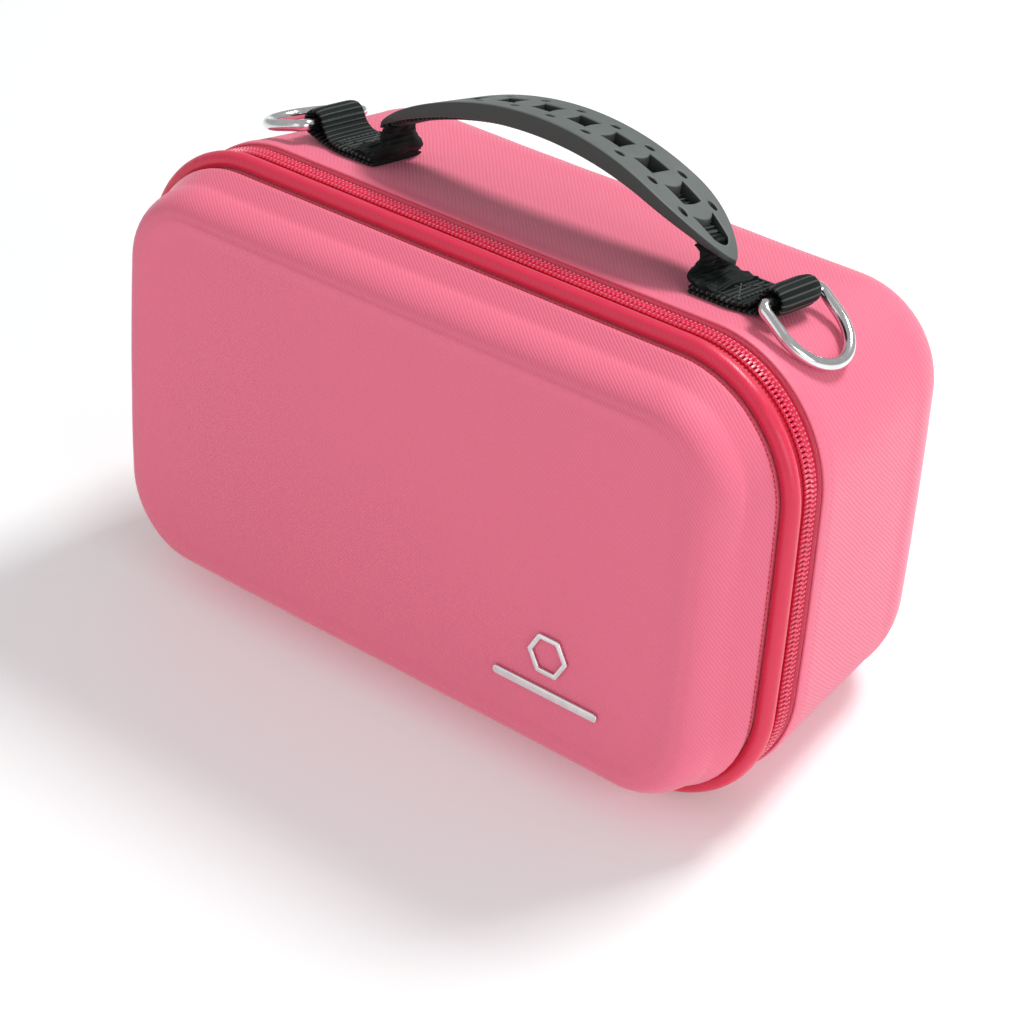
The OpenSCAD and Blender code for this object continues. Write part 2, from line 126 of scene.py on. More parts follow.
class Look:
    """A principled material with short calls for the nodes that feed it."""

    def __init__(self, name, rough=0.6, metal=0.0, **sockets):
        self.mat = bpy.data.materials.new(name)
        self.mat.use_nodes = True
        self.tree = self.mat.node_tree
        self.bsdf = self.tree.nodes["Principled BSDF"]
        self.bsdf.inputs["Roughness"].default_value = rough
        self.bsdf.inputs["Metallic"].default_value = metal
        for key, value in sockets.items():
            self.bsdf.inputs[key.replace("_", " ")].default_value = value

    def plug(self, socket, value):
        if isinstance(value, bpy.types.NodeSocket):
            self.tree.links.new(value, socket)
        else:
            socket.default_value = value

    def math(self, op, a, b=0.0, c=0.0):
        n = self.tree.nodes.new("ShaderNodeMath")
        n.operation = op
        for socket, value in zip(n.inputs, (a, b, c)):
            self.plug(socket, value)
        return n.outputs[0]

    def add(self, a, b):
        return self.math("ADD", a, b)

    def mul(self, a, b):
        return self.math("MULTIPLY", a, b)

    def fma(self, a, b, c):
        return self.math("MULTIPLY_ADD", a, b, c)

    def coords(self, scale=1000.0, lean=LEAN):
        """Object coordinates in millimetres, turned into the case's own axes."""
        tc = self.tree.nodes.new("ShaderNodeTexCoord")
        mp = self.tree.nodes.new("ShaderNodeMapping")
        mp.inputs["Scale"].default_value = (scale,) * 3
        mp.inputs["Rotation"].default_value = (math.radians(lean), 0, 0)
        self.tree.links.new(tc.outputs["Object"], mp.inputs["Vector"])
        return mp.outputs["Vector"]

    def axes(self, vector):
        n = self.tree.nodes.new("ShaderNodeSeparateXYZ")
        self.plug(n.inputs[0], vector)
        return tuple(n.outputs)

    def wave(self, value, pitch, power=1.0):
        """A rib profile from 0 to 1 that repeats every pitch of value."""
        h = self.fma(self.math("SINE", self.mul(value, 2 * math.pi / pitch)), 0.5, 0.5)
        return h if power == 1.0 else self.math("POWER", h, power)

    def noise(self, vector, scale, detail=2.0, rough=0.5):
        n = self.tree.nodes.new("ShaderNodeTexNoise")
        self.plug(n.inputs["Vector"], vector)
        n.inputs["Scale"].default_value = scale
        n.inputs["Detail"].default_value = detail
        n.inputs["Roughness"].default_value = rough
        return n.outputs["Fac"]

    def ramp(self, fac, *stops):
        n = self.tree.nodes.new("ShaderNodeValToRGB")
        self.plug(n.inputs[0], fac)
        el = n.color_ramp.elements
        while len(el) < len(stops):
            el.new(0.5)
        for e, (pos, col) in zip(el, stops):
            e.position, e.color = pos, col
        return n.outputs[0]

    def tones(self, fac, base, low, dark, high, light):
        """Base times dark where fac is low, up to base times light where fac is high."""
        return self.ramp(fac, (low, shade(base, dark)), (high, shade(base, light)))

    def mix(self, fac, a, b):
        n = self.tree.nodes.new("ShaderNodeMix")
        n.data_type = "RGBA"
        for index, value in ((0, fac), (6, a), (7, b)):
            self.plug(n.inputs[index], value)
        return n.outputs[2]

    def finish(self, colour, rough=None, height=None, bump=0.1, strength=1.0):
        """Plugs in colour, roughness and a bump of the given height in millimetres."""
        self.plug(self.bsdf.inputs["Base Color"], colour)
        if rough is not None:
            self.plug(self.bsdf.inputs["Roughness"], rough)
        if height is not None:
            n = self.tree.nodes.new("ShaderNodeBump")
            n.inputs["Strength"].default_value = strength
            n.inputs["Distance"].default_value = bump * MM
            self.plug(n.inputs["Height"], height)
            self.tree.links.new(n.outputs[0], self.bsdf.inputs["Normal"])
        return self.mat


def shade(col, k):
    return tuple(c * k for c in col[:3]) + (1.0,)


SHELL_PINK = srgb(242, 116, 144)
TRIM_PINK = srgb(230, 46, 82)
TAPE_PINK = srgb(216, 38, 72)
COIL_PINK = srgb(228, 46, 84)
DOT_PINK = srgb(250, 140, 165)


def twill(name, base, rib=1.35, bump=0.1, contrast=0.08):
    """Fine diagonal twill: ribs on planes x + y + z, threads crossing them."""
    k = Look(name, 0.62, Sheen_Weight=0.4, Sheen_Roughness=0.35,
             Sheen_Tint=(1.0, 0.85, 0.9, 1.0), Specular_IOR_Level=0.4)
    v = k.coords()
    x, y, z = k.axes(v)
    wobble = k.mul(k.noise(v, 0.12, 2.0), 1.1)
    along = k.add(k.add(x, y), k.add(z, wobble))
    ribs = k.wave(along, rib, 0.8)
    across = k.math("SUBTRACT", k.add(x, k.mul(y, 0.5)), z)
    thread = k.wave(k.add(across, k.mul(along, 0.33)), 0.86)
    weave = k.add(k.mul(ribs, 0.75), k.mul(thread, 0.25))
    grain = k.noise(v, 2.2, 2.0, 0.7)
    height = k.add(weave, k.mul(grain, 0.35))
    soft = k.noise(v, 0.03, 3.0)
    tone = k.add(k.mul(weave, 0.8), k.mul(grain, 0.4))
    col = k.tones(tone, base, 0.15, 1 - contrast, 0.95, 1 + contrast)
    col = k.mix(k.mul(soft, 0.25), col, shade(base, 0.88))
    rough = k.fma(weave, -0.12, 0.7)
    return k.finish(col, rough, height, bump, 0.8)


def satin(name, base, weave=0.55, rough=0.42, sheen=0.5, bump=0.06):
    """Smooth closely woven binding: fine crossed threads, faint creases."""
    k = Look(name, rough, Sheen_Weight=sheen, Sheen_Roughness=0.35,
             Sheen_Tint=(1.0, 0.7, 0.78, 1.0))
    v = k.coords()
    x, y, z = k.axes(v)
    a = k.wave(k.add(x, z), weave)
    b = k.wave(k.add(y, k.mul(k.math("SUBTRACT", x, z), 0.35)), weave)
    cloth = k.mul(k.add(a, b), 0.5)
    crease = k.noise(v, 0.35, 3.0, 0.55)
    height = k.add(k.mul(cloth, 0.2), k.mul(crease, 1.6))
    col = k.tones(k.add(k.mul(cloth, 0.5), k.mul(crease, 0.5)), base, 0.2, 0.92, 0.8, 1.05)
    return k.finish(col, k.fma(crease, 0.25, rough - 0.12), height, bump, 1.0)


def knit(name, base, pitch=1.1, bump=0.12, rough=0.85, sheen=0.4):
    """Brushed knit or loop fabric: rows of small loops under a fuzzy nap."""
    k = Look(name, rough, Sheen_Weight=sheen, Sheen_Roughness=0.6)
    v = k.coords()
    x, y, z = k.axes(v)
    row = k.wave(k.add(z, k.mul(y, 0.8)), pitch)
    col_ = k.wave(k.add(x, k.mul(y, 0.8)), pitch)
    loops = k.mul(row, col_)
    nap = k.noise(v, 1.4, 4.0, 0.7)
    height = k.add(loops, nap)
    col = k.tones(k.mul(height, 0.6), base, 0.2, 0.6, 0.9, 1.5)
    return k.finish(col, None, height, bump, 0.9)


def webbing_look(name, base):
    """Nylon webbing: fine warp lines along the strap and lighter specks of grain; the copy with a
    lighter base paints the highlight on the rib crest rows.
    """
    k = Look(name, 0.6, Sheen_Weight=0.03, Sheen_Roughness=0.35,
             Sheen_Tint=(0.75, 0.9, 0.86, 1.0), Specular_IOR_Level=0.12)
    v = k.coords()
    warp = k.wave(k.axes(v)[1], 0.5)
    grain = k.noise(v, 2.5, 3.0, 0.7)
    height = k.add(k.mul(warp, 0.25), grain)
    col = k.tones(k.mul(height, 0.62), base, 0.25, 0.6, 0.75, 1.8)
    return k.finish(col, k.fma(grain, 0.3, 0.38), height, 0.12, 1.0)


def rubber(name, base):
    """Matt moulded rubber with a fine grain and broad uneven gloss."""
    k = Look(name, 0.5, Specular_IOR_Level=0.45)
    v = k.coords()
    fine = k.noise(v, 5.0, 2.0, 0.6)
    broad = k.noise(v, 0.12, 3.0)
    col = k.tones(k.add(k.mul(fine, 0.4), k.mul(broad, 0.6)), base, 0.25, 0.85, 0.75, 1.15)
    return k.finish(col, k.fma(broad, 0.16, 0.44), fine, 0.05, 0.5)


def metal(name, base, rough, brushed=0.0):
    """Plated metal with a faint haze; brushed deepens the bump, in millimetres."""
    k = Look(name, rough, 1.0)
    v = k.coords()
    haze = k.noise(v, 0.35, 4.0, 0.6)
    micro = k.noise(v, 6.0, 2.0, 0.6)
    col = k.tones(haze, base, 0.3, 0.9, 0.7, 1.04)
    return k.finish(col, k.fma(haze, 0.12, rough), micro, 0.02 + brushed, 0.3)


def coil_look(name, base):
    k = Look(name, 0.32, Coat_Weight=0.3, Coat_Roughness=0.25)
    v = k.coords()
    n = k.noise(v, 0.9, 3.0, 0.6)
    col = k.tones(n, base, 0.3, 0.86, 0.7, 1.15)
    return k.finish(col, k.fma(n, 0.2, 0.24), n, 0.03, 0.5)


def thread_look(name, base):
    k = Look(name, 0.55, Sheen_Weight=0.3)
    v = k.coords()
    n = k.noise(v, 3.0, 3.0, 0.7)
    col = k.tones(n, base, 0.3, 0.75, 0.7, 1.2)
    return k.finish(col, None, n, 0.05, 0.8)


def mesh_look(name, base):
    """Warp-knit pocket mesh: rows of small dark holes between ribs of yarn."""
    k = Look(name, 0.7, Sheen_Weight=0.3, Sheen_Roughness=0.5)
    v = k.coords()
    x, _, z = k.axes(v)
    a = k.wave(k.add(x, k.mul(z, 0.577)), 2.1)
    b = k.wave(k.math("SUBTRACT", x, k.mul(z, 0.577)), 2.1)
    yarn = k.math("MAXIMUM", a, b)
    n = k.noise(v, 2.0, 3.0, 0.7)
    height = k.add(yarn, k.mul(n, 0.4))
    col = k.tones(k.mul(height, 0.75), base, 0.35, 0.15, 0.75, 1.5)
    return k.finish(col, None, height, 0.3, 1.0)


MATS = {
    "shell": twill("shell_twill", SHELL_PINK),
    "band": satin("rim_band", srgb(244, 116, 144), 0.7, 0.55, 0.2),
    "trim": satin("piping_satin", TRIM_PINK, 0.55, 0.36, 0.2),
    "tape": satin("zip_tape_weave", TAPE_PINK, 0.8, 0.6, 0.1, 0.1),
    "coil": coil_look("zip_coil_nylon", COIL_PINK),
    # Pale pink for the stitching thread over each tooth's shank and the painted highlight on each
    # tooth head
    "thread_and_painted_highlight": thread_look("thread_and_painted_highlight", DOT_PINK),
    "seam_thread": thread_look("seam_thread", srgb(205, 40, 72)),
    "lining": knit("lining_knit", (0.035, 0.035, 0.038, 1)),
    "webbing": webbing_look("ribbed_webbing", (0.005, 0.009, 0.008, 1)),
    # Lighter copy of the webbing for the rib crest rows: a painted highlight on the ribs
    "rib": webbing_look("webbing_rib_painted_highlight", (0.07, 0.085, 0.08, 1)),
    "thread": thread_look("dark_thread", (0.012, 0.018, 0.016, 1)),
    "rubber": rubber("grip_rubber", (0.115, 0.133, 0.127, 1)),
    # Darker copy of the grip rubber for its side and window walls: painted shade
    "rubber_painted_shade": rubber("grip_rubber_sides_painted_shade", (0.045, 0.051, 0.048, 1)),
    "nickel": metal("ring_nickel", (0.83, 0.83, 0.84, 1), 0.09),
    "slider": metal("slider_nickel", (0.74, 0.74, 0.75, 1), 0.2, 0.02),
    "core": thread_look("piping_cord", (0.7, 0.7, 0.68, 1)),
    "divider": knit("divider_loop", (0.05, 0.05, 0.056, 1), 1.6, 0.2),
    "hook": knit("hook_tape", (0.018, 0.018, 0.02, 1), 0.8, 0.25, 0.6),
    "mesh": mesh_look("pocket_mesh", (0.045, 0.045, 0.05, 1)),
    "elastic": knit("elastic_rib", (0.02, 0.02, 0.022, 1), 1.3, 0.25),
    "emblem": metal("emblem_silver", (0.82, 0.83, 0.84, 1), 0.16, 0.02),
}


# ---- Building ----

def to_mesh(name, bm):
    me = bpy.data.meshes.new(name)
    bm.to_mesh(me)
    bm.free()
    return me


def add_object(name, data):
    obj = bpy.data.objects.new(name, data)
    bpy.context.scene.collection.objects.link(obj)
    return obj


SHARP, METAL_SHARP, GRIP_SHARP = (math.radians(a) for a in (48, 40, 38))


def piece(name, bm, mats, body, slot, nodes=(), at=CASE, sharp=SHARP, fix=True):
    """Places a bmesh, in millimetres in the frame at, and makes it a finished piece on a body.

    at is None for a bmesh that is in place already. mats has a name or a list of names.
    """
    if at is not None:
        place(bm, at)
    if fix:
        bmesh.ops.recalc_face_normals(bm, faces=bm.faces)
    for f in bm.faces:
        f.smooth = True
    for e in bm.edges:
        if len(e.link_faces) == 2 and e.calc_face_angle(0.0) > sharp:
            e.smooth = False
    me = to_mesh(name, bm)
    for m in [mats] if isinstance(mats, str) else mats:
        me.materials.append(MATS[m])
    obj = add_object(name, me)
    if body:
        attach(obj, body)
    if nodes:
        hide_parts(*nodes)
    return obj


def place(bm, frame_):
    """Moves vertices from millimetres in a local frame to metres in the world."""
    for v in bm.verts:
        v.co = (frame_ @ v.co) * MM


def add_grid(bm, rows, closed=False, material=0):
    """Joins closed rows of points into quads; closed joins the last row to the first."""
    vs = [[bm.verts.new(p) for p in row] for row in rows]
    n, m = len(vs[0]), len(vs)
    for j in range(m if closed else m - 1):
        for i in range(n):
            a, b = vs[j], vs[(j + 1) % m]
            f = bm.faces.new((a[i], a[(i + 1) % n], b[(i + 1) % n], b[i]))
            f.material_index = material
    return vs


def add_solid(bm, rows, material=0):
    """Joins closed rows of points into a skin with a flat face at each end."""
    vs = add_grid(bm, rows, False, material)
    for row in (vs[0][::-1], vs[-1]):
        bm.faces.new(row).material_index = material
    return vs


def join_into(bm, other, frame_=Matrix.Identity(4)):
    """Moves another bmesh into bm through frame_, with its normals outwards."""
    for v in other.verts:
        v.co = frame_ @ v.co
    bmesh.ops.recalc_face_normals(other, faces=other.faces)
    me = to_mesh("joined", other)
    bm.from_mesh(me)
    bpy.data.meshes.remove(me)


def quarter(n):
    """n + 1 angles evenly over the first quarter of a circle."""
    return [math.pi / 2 * i / n for i in range(n + 1)]


def turns(n):
    """n angles evenly round a circle."""
    return [2 * math.pi * i / n for i in range(n)]


# ---- Shells ----

ARC_N, SIDE_N, TOP_N = 14, 14, 26


def ring(st, scale=1.0):
    """A station's outline, (y, side, low, high, radius), anticlockwise from the right."""
    y, side, low, high, r = st
    arcs = []
    for q in range(4):
        cx = (1 if q in (0, 3) else -1) * (HALF_W - side - r)
        cz = CASE_H - high - r if q < 2 else low + r
        angles = [math.radians(90 * (q + i / ARC_N)) for i in range(ARC_N + 1)]
        arcs.append([(cx + r * math.cos(a), cz + r * math.sin(a)) for a in angles])
    pts = []
    for q, arc in enumerate(arcs):
        (x0, z0), (x1, z1) = arc[-1], arcs[(q + 1) % 4][0]
        n = TOP_N if q in (0, 2) else SIDE_N
        pts += arc + [(lerp(x0, x1, i / n), lerp(z0, z1, i / n)) for i in range(1, n)]
    mid = (low + CASE_H - high) / 2
    pts = [(x * scale, mid + (z - mid) * scale) for x, z in pts]
    return [Vector((crown(x, z), y, z)) for x, z in pts]


def inset(s, t):
    return (s[0], s[1] + t, s[2] + t, s[3] + t, max(s[4] - t, 1))


def round_end(s, r, t, n=14, tight=1.0):
    """Stations round an end of radius r, inset by t; tight below 1 widens the flat face."""
    return [inset((s[0] + (r - t) * math.sin(a), *s[1:]), t + (r - t) * (1 - math.cos(a)) * tight)
            for a in quarter(n)[1:]]


def even(y, t):
    """A station inset by t all round."""
    return (y, t, t, t, CORNER_R - t)


def mix_station(a, b, t):
    return tuple(lerp(p, q, t) for p, q in zip(a, b))


def body_wall(y):
    run = y - LIP_Y
    share = run / (BODY_STRAIGHT_Y - LIP_Y)
    return (y, RIM_SIDE + run * tan_deg(SIDE_DRAFT), RIM_LOW + run * tan_deg(LEAN),
            RIM_SIDE + run * tan_deg(TOP_DRAFT), RIM_R + share * (BODY_END_R - RIM_R))


LID_END = (LID_STRAIGHT_Y, SEAM_IN + 4.8, SEAM_IN + 3.6, SEAM_IN + 4.4, LID_END_R)
LID_SEAM = even(SEAM_Y, SEAM_IN)
LID_TIGHT, LID_CREST, CREST_AT, CREST_WIDTH = 0.62, 0.42, 0.975, 0.032
CAP_SCALES = [0.02, 0.1, 0.2, 0.3, 0.4, 0.5, 0.6, 0.7, 0.78, 0.84, 0.87, 0.9, 0.92, 0.94, 0.96,
              0.98, 0.99]


def cap(st, dome=0.0, crest=0.0):
    """Rings from the middle of an end out to its edge, with a low crest near the edge."""
    rows = []
    for s in CAP_SCALES:
        rise = dome * (1 - s * s) + crest * math.exp(-((s - CREST_AT) / CREST_WIDTH) ** 2)
        rows.append([Vector((p.x, p.y + rise, p.z)) for p in ring(st, s)])
    return rows


def walls(a, b, n):
    return [mix_station(a, b, i / n) for i in range(1, n)]


def shell(name, body, slot, nodes, stations, mats, mirror, dome=0.0, crest=0.0, puff=None,
          inner_from=None):
    """Lofts stations into one closed skin. dome and crest shape its first end.

    puff is the (height, scale, last row) of soft unevenness; faces from row inner_from on take
    the second material.
    """
    bm = bmesh.new()
    rows = cap(stations[0], dome, crest) + [ring(s) for s in stations]
    rows += cap(stations[-1])[::-1]
    if mirror:
        rows = [[Vector((p.x, -p.y, p.z)) for p in row] for row in rows]
    vs = add_solid(bm, rows)
    bmesh.ops.recalc_face_normals(bm, faces=bm.faces)
    bm.normal_update()
    if puff:
        amp, scale, last = puff
        moves = []
        for k, row in enumerate(vs[:last]):
            w = smooth((last - k) / 6)
            for v in row:
                n = noise.noise(v.co * scale) + 0.5 * noise.noise(v.co * scale * 2.7)
                moves.append((v, v.normal * amp * n * w))
        for v, d in moves:
            v.co += d
    if inner_from is not None:
        bm.verts.index_update()
        lining = set(v for row in vs[inner_from:] for v in row)
        for f in bm.faces:
            if all(v in lining for v in f.verts):
                f.material_index = 1
    piece(name, bm, mats, body, slot, nodes)


def body_outer():
    end = body_wall(BODY_STRAIGHT_Y)
    rear = round_end(end, REAR_R, 0, 18)[::-1]
    start = body_wall(BINDING_Y + 0.6)
    turned = [start, inset(body_wall(BINDING_Y + 0.15), 0.1), inset(body_wall(BINDING_Y), 0.35),
              even(BINDING_Y, RECESS_IN)]
    mouth = [even(LIP_Y, RECESS_IN), even(LIP_Y, LIP_IN), even(RIM_Y, LIP_IN)]
    return rear + [end] + walls(end, start, 16) + turned + mouth


def body_inner(t, with_mouth):
    rim, end = body_wall(LIP_Y), body_wall(BODY_STRAIGHT_Y)
    first = [inset((RIM_Y, *rim[1:]), t)] if with_mouth else []
    return first + [inset(rim, t)] + walls(inset(rim, t), inset(end, t), 6) \
        + [inset(end, t)] + round_end(end, REAR_R, t, 10)


def lid_outer():
    front = round_end(LID_END, FRONT_R, 0, tight=LID_TIGHT)[::-1]
    roll = 1.1
    side = mix_station(LID_SEAM, LID_END, roll / (LID_STRAIGHT_Y - SEAM_Y))
    turned = [inset((SEAM_Y + roll * (1 - math.sin(a)), *side[1:]), roll * (1 - math.cos(a)))
              for a in quarter(5)[1:]]
    mouth = [even(SEAM_Y, GROOVE_IN), even(LIP_Y, GROOVE_IN), even(LIP_Y, LIP_IN),
             even(RIM_Y, LIP_IN)]
    return front + [LID_END] + walls(LID_END, side, 6) + [side] + turned + mouth


def lid_inner(t, with_mouth):
    first = [inset((RIM_Y, *LID_SEAM[1:]), t)] if with_mouth else []
    lip = inset((LIP_Y, *LID_SEAM[1:]), t)
    return first + [lip, inset(LID_SEAM, t), inset(LID_END, t)] + round_end(LID_END, FRONT_R, t, 8)


def build_shells():
    hair, ends = 0.04, len(CAP_SCALES)
    for half, body, outer, inner, dome, crest, amp, scale, last in (
            ("body", "case_body", body_outer(), body_inner, 0.35, 0.0, 0.22, 0.028, 35),
            ("lid", "lid", lid_outer(), lid_inner, 0.3, LID_CREST, 0.14, 0.03, 22)):
        mirror = half == "lid"
        shell(f"{half}_shell_skin", body, "shell_fabric", [f"{half}_shell"],
              outer + inner(WALL_T, True), ["shell", "lining"], mirror, dome, crest,
              (amp, scale, ends + last), ends + len(outer))
        shell(f"{half}_lining_skin", body, "lining_fabric", [f"{half}_lining"],
              inner(WALL_T + hair, False)[::-1] + inner(WALL_T + LINING_T, False), "lining", mirror)


# ---- Bands round the zip line ----

RUN_X, LOW_C, HIGH_C = HALF_W - CORNER_R, CORNER_R, CASE_H - CORNER_R
ARC_L = math.pi / 2 * CORNER_R
SEGMENTS = [("arc", RUN_X, LOW_C, -90), ("line", (HALF_W, LOW_C), (HALF_W, HIGH_C)),
            ("arc", RUN_X, HIGH_C, 0), ("line", (RUN_X, CASE_H), (-RUN_X, CASE_H)),
            ("arc", -RUN_X, HIGH_C, 90), ("line", (-HALF_W, HIGH_C), (-HALF_W, LOW_C)),
            ("arc", -RUN_X, LOW_C, 180), ("line", (-RUN_X, 0.0), (RUN_X, 0.0))]


def seg_length(seg):
    return ARC_L if seg[0] == "arc" else math.dist(seg[1], seg[2])


OPEN_L = sum(seg_length(s) for s in SEGMENTS[:-1])
FULL_L = OPEN_L + seg_length(SEGMENTS[-1])


def along(s):
    """Point and outward normal (x, z, nx, nz) at distance s round the zip line."""
    for seg in SEGMENTS:
        length = seg_length(seg)
        if s <= length or seg is SEGMENTS[-1]:
            break
        s -= length
    t = s / length
    if seg[0] == "arc":
        a = math.radians(seg[3] + 90 * t)
        nx, nz = math.cos(a), math.sin(a)
        x, z = seg[1] + CORNER_R * nx, seg[2] + CORNER_R * nz
    else:
        (x0, z0), (x1, z1) = seg[1], seg[2]
        x, z = lerp(x0, x1, t), lerp(z0, z1, t)
        nx, nz = (z1 - z0) / length, -(x1 - x0) / length
    return x, z, nx, nz


def at_band(s, d, y):
    x, z, nx, nz = along(s)
    x, z = x + nx * d, z + nz * d
    return Vector((crown(x, z), y, z))


def sweep_band(bm, profile, full, step=2.0, wave=None):
    """Sweeps a closed profile of (d, y) points; full bands join up along the hinge edge."""
    length = FULL_L if full else OPEN_L
    n = round(length / step)
    mid = Vector((sum(p[0] for p in profile), sum(p[1] for p in profile))) / len(profile)
    rows = []
    for i in range(n if full else n + 1):
        s = length * i / n
        k = wave(s) if wave else 1.0
        rows.append([at_band(s, mid.x + (d - mid.x) * k, mid.y + (y - mid.y) * k)
                     for d, y in profile])
    if full:
        add_grid(bm, rows, True)
    else:
        add_solid(bm, rows)


def band_piece(name, profile, full, step, *looks):
    bm = bmesh.new()
    sweep_band(bm, profile, full, step)
    piece(name, bm, *looks)


def oval(cx, cy, rx, ry, n=14):
    return [(cx + rx * math.cos(a), cy + ry * math.sin(a)) for a in turns(n)]


def circle(cx, cy, r, n):
    return oval(cx, cy, r, r, n)


def rounded_rect(x0, x1, y0, y1, r, n=3):
    pts = []
    for cx, cy, a0 in ((x1 - r, y1 - r, 0), (x0 + r, y1 - r, 90), (x0 + r, y0 + r, 180),
                       (x1 - r, y0 + r, 270)):
        for i in range(n + 1):
            a = math.radians(a0 + 90 * i / n)
            pts.append((cx + r * math.cos(a), cy + r * math.sin(a)))
    return pts


def capsule(bm, p, q, r, up=Vector((0, 0, 1)), n=5, flat=1.0, material=0):
    """A round-ended thread or tooth from p to q, in millimetres."""
    axis = q - p
    length = axis.length
    axis.normalize()
    side = axis.cross(up)
    if side.length < 1e-4:
        side = axis.cross(Vector((1, 0, 0)))
    side.normalize()
    top = side.cross(axis)
    rows = []
    for t, k in ((0.0, 0.55), (0.14, 0.9), (0.3, 1.0), (0.7, 1.0), (0.86, 0.9), (1.0, 0.55)):
        c = p + axis * length * t
        rows.append([c + (side * math.cos(a) * r + top * math.sin(a) * r * flat) * k
                     for a in turns(n)])
    add_solid(bm, rows, material)


TOOTH_PITCH, TOOTH_R, TOOTH_FOOT_Y, TOOTH_TIP_Y = 1.35, 0.48, 2.35, -0.3


def build_zip():
    for side, half, body in ((1, "body", "case_body"), (-1, "lid", "lid")):
        edge = rounded_rect(-LIP_IN + 0.02, TAPE_OUT, 0.55, LIP_Y, 0.25)
        band_piece(f"zip_tape_{half}_weave", [(d, side * y) for d, y in edge], False, 2.0, "tape",
                   body, "zip_tape", [f"zip_tape_{half}"])

        bm = bmesh.new()
        low, high = TAPE_OUT + 0.62, TAPE_OUT + 0.95
        for i in range(int(OPEN_L / TOOTH_PITCH) - 1):
            s = TOOTH_PITCH * (i + (0.75 if side > 0 else 0.25)) + 0.9
            _, _, nx, nz = along(s)
            out = Vector((nx, 0, nz))
            capsule(bm, at_band(s, low, side * TOOTH_FOOT_Y), at_band(s, high, side * TOOTH_TIP_Y),
                    TOOTH_R, out, 6, 0.9)
            # Lighter thread over the shank of each tooth, and a painted highlight of the same pale
            # material on its head
            for half_l, d, y, r in ((0.26, high + 0.02, 0.45, 0.34), (0.3, low + 0.42, 1.75, 0.2)):
                capsule(bm, at_band(s - half_l, d, side * y), at_band(s + half_l, d, side * y), r,
                        out, material=1)
        sweep_band(bm, circle(TAPE_OUT + 0.3, side * 1.5, 0.45, 6), False)
        piece(f"zip_coil_{half}_teeth", bm, ["coil", "thread_and_painted_highlight"], body, "zip_coil",
              [f"zip_coil_{half}"])

    bm = bmesh.new()
    shape = rounded_rect(0.28, 2.3, 0.95, 2.75, 0.5, 4)
    for cx in (2.04 - RUN_X, RUN_X - 2.04):
        rows = []
        for t, k in ((-2.0, 0.82), (-1.8, 1.0), (-0.5, 1.0), (-0.3, 0.9), (0.3, 0.9), (0.5, 1.0),
                     (1.8, 1.0), (2.0, 0.82)):
            rows.append([Vector((cx + t, 1.29 + (y - 1.29) * k, 1.85 + (z - 1.85) * k))
                         for y, z in shape])
        add_solid(bm, rows)
    piece("zip_end_stops_crimped", bm, "slider", "case_body", "slider_metal", ["zip_end_stops"])


STITCH_PITCH, STITCH_L, STITCH_R, STITCH_OUT = 1.5, 0.95, 0.17, -4.6


def ripple(s):
    """Slight unevenness of the piping's thickness at distance s round it."""
    return 1 + 0.012 * noise.noise(Vector((s * 0.07, 0, 0))) \
        + 0.006 * noise.noise(Vector((s * 0.4, 3, 0)))


def build_trim():
    bm = bmesh.new()
    sweep_band(bm, circle(PIPING_OUT, -PIPING_Y, PIPING_R, 24), True, 1.6, ripple)
    sweep_band(bm, circle(PIPING_OUT, -PIPING_Y, PIPING_CORE_R + 0.05, 12)[::-1], True, 1.6)
    piece("piping_sleeve", bm, "trim", "lid", "trim_fabric", ["lid_piping_sleeve"], fix=False)

    band_piece("piping_core", circle(PIPING_OUT, -PIPING_Y, PIPING_CORE_R, 12), True, 2.4, "core",
               "lid", "piping_cord", ["lid_piping_core"])
    band = rounded_rect(-RECESS_IN + 0.05, -1.05, LIP_Y + 0.05, BINDING_Y - 0.08, 0.38, 4)
    band_piece("rim_binding", band, True, 1.6, "band", "case_body", "trim_fabric",
               ["body_rim_binding"])

    bm = bmesh.new()
    s = 1.0
    while s < FULL_L:
        ends = (at_band(s + step, STITCH_OUT, 0.04 - SEAM_Y) for step in (0, STITCH_L))
        capsule(bm, *ends, STITCH_R)
        s += STITCH_PITCH
    piece("lid_seam_stitches", bm, "seam_thread", "lid", "trim_fabric")

    bm = bmesh.new()
    reach, xs = RUN_X - 0.1, range(31)
    section = [(lerp(-reach, reach, k / 30), LIP_IN - 0.04) for k in xs] \
        + [(lerp(reach, -reach, k / 30), LIP_IN - TAPE_T) for k in xs]
    add_solid(bm, [[Vector((x, lerp(LIP_Y - 0.05, -LIP_Y + 0.05, i / 24), z)) for x, z in section]
                   for i in range(25)])
    strip = piece("hinge_strip", bm, "band", None, "trim_fabric",
                  ["hinge_strip_body", "hinge_strip_lid"])
    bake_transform(strip)


# ---- Straps and D-rings ----

RIB_PITCH, ACROSS = 1.5, 12
LOOP_X, LOOP_Z, LOOP_R, LOOP_W = 76.0, 5.22, 3.25, 16.5
ANCHOR_T, ANCHOR_TOP_Z = 1.25, 2.72
BOX_IN_X, BOX_OUT_X, BOX_W, DASH_PITCH = 56.4, 66.6, STRAP_W - 3.6, 1.9
SIDES = ((-1, "left"), (1, "right"))
RING_DROOP = {-1: 16, 1: 36}
RING_ARM, RING_BOW, RING_WIRE, RING_BEND = 8.0, 12.4, 1.6, 2.2


def smooth_path(points, step=0.3):
    """Catmull-Rom through (x, z, width) rows, sampled about every step."""
    out = []
    for i in range(len(points) - 1):
        p = [Vector(points[max(min(i + k, len(points) - 1), 0)]) for k in (-1, 0, 1, 2)]
        n = max(2, int((p[2] - p[1]).length / step))
        for j in range(n):
            t = j / n
            out.append(0.5 * ((2 * p[1]) + (p[2] - p[0]) * t
                              + (2 * p[0] - 5 * p[1] + 4 * p[2] - p[3]) * t * t
                              + (3 * p[1] - p[0] - 3 * p[2] + p[3]) * t ** 3))
    out.append(Vector(points[-1]))
    return out


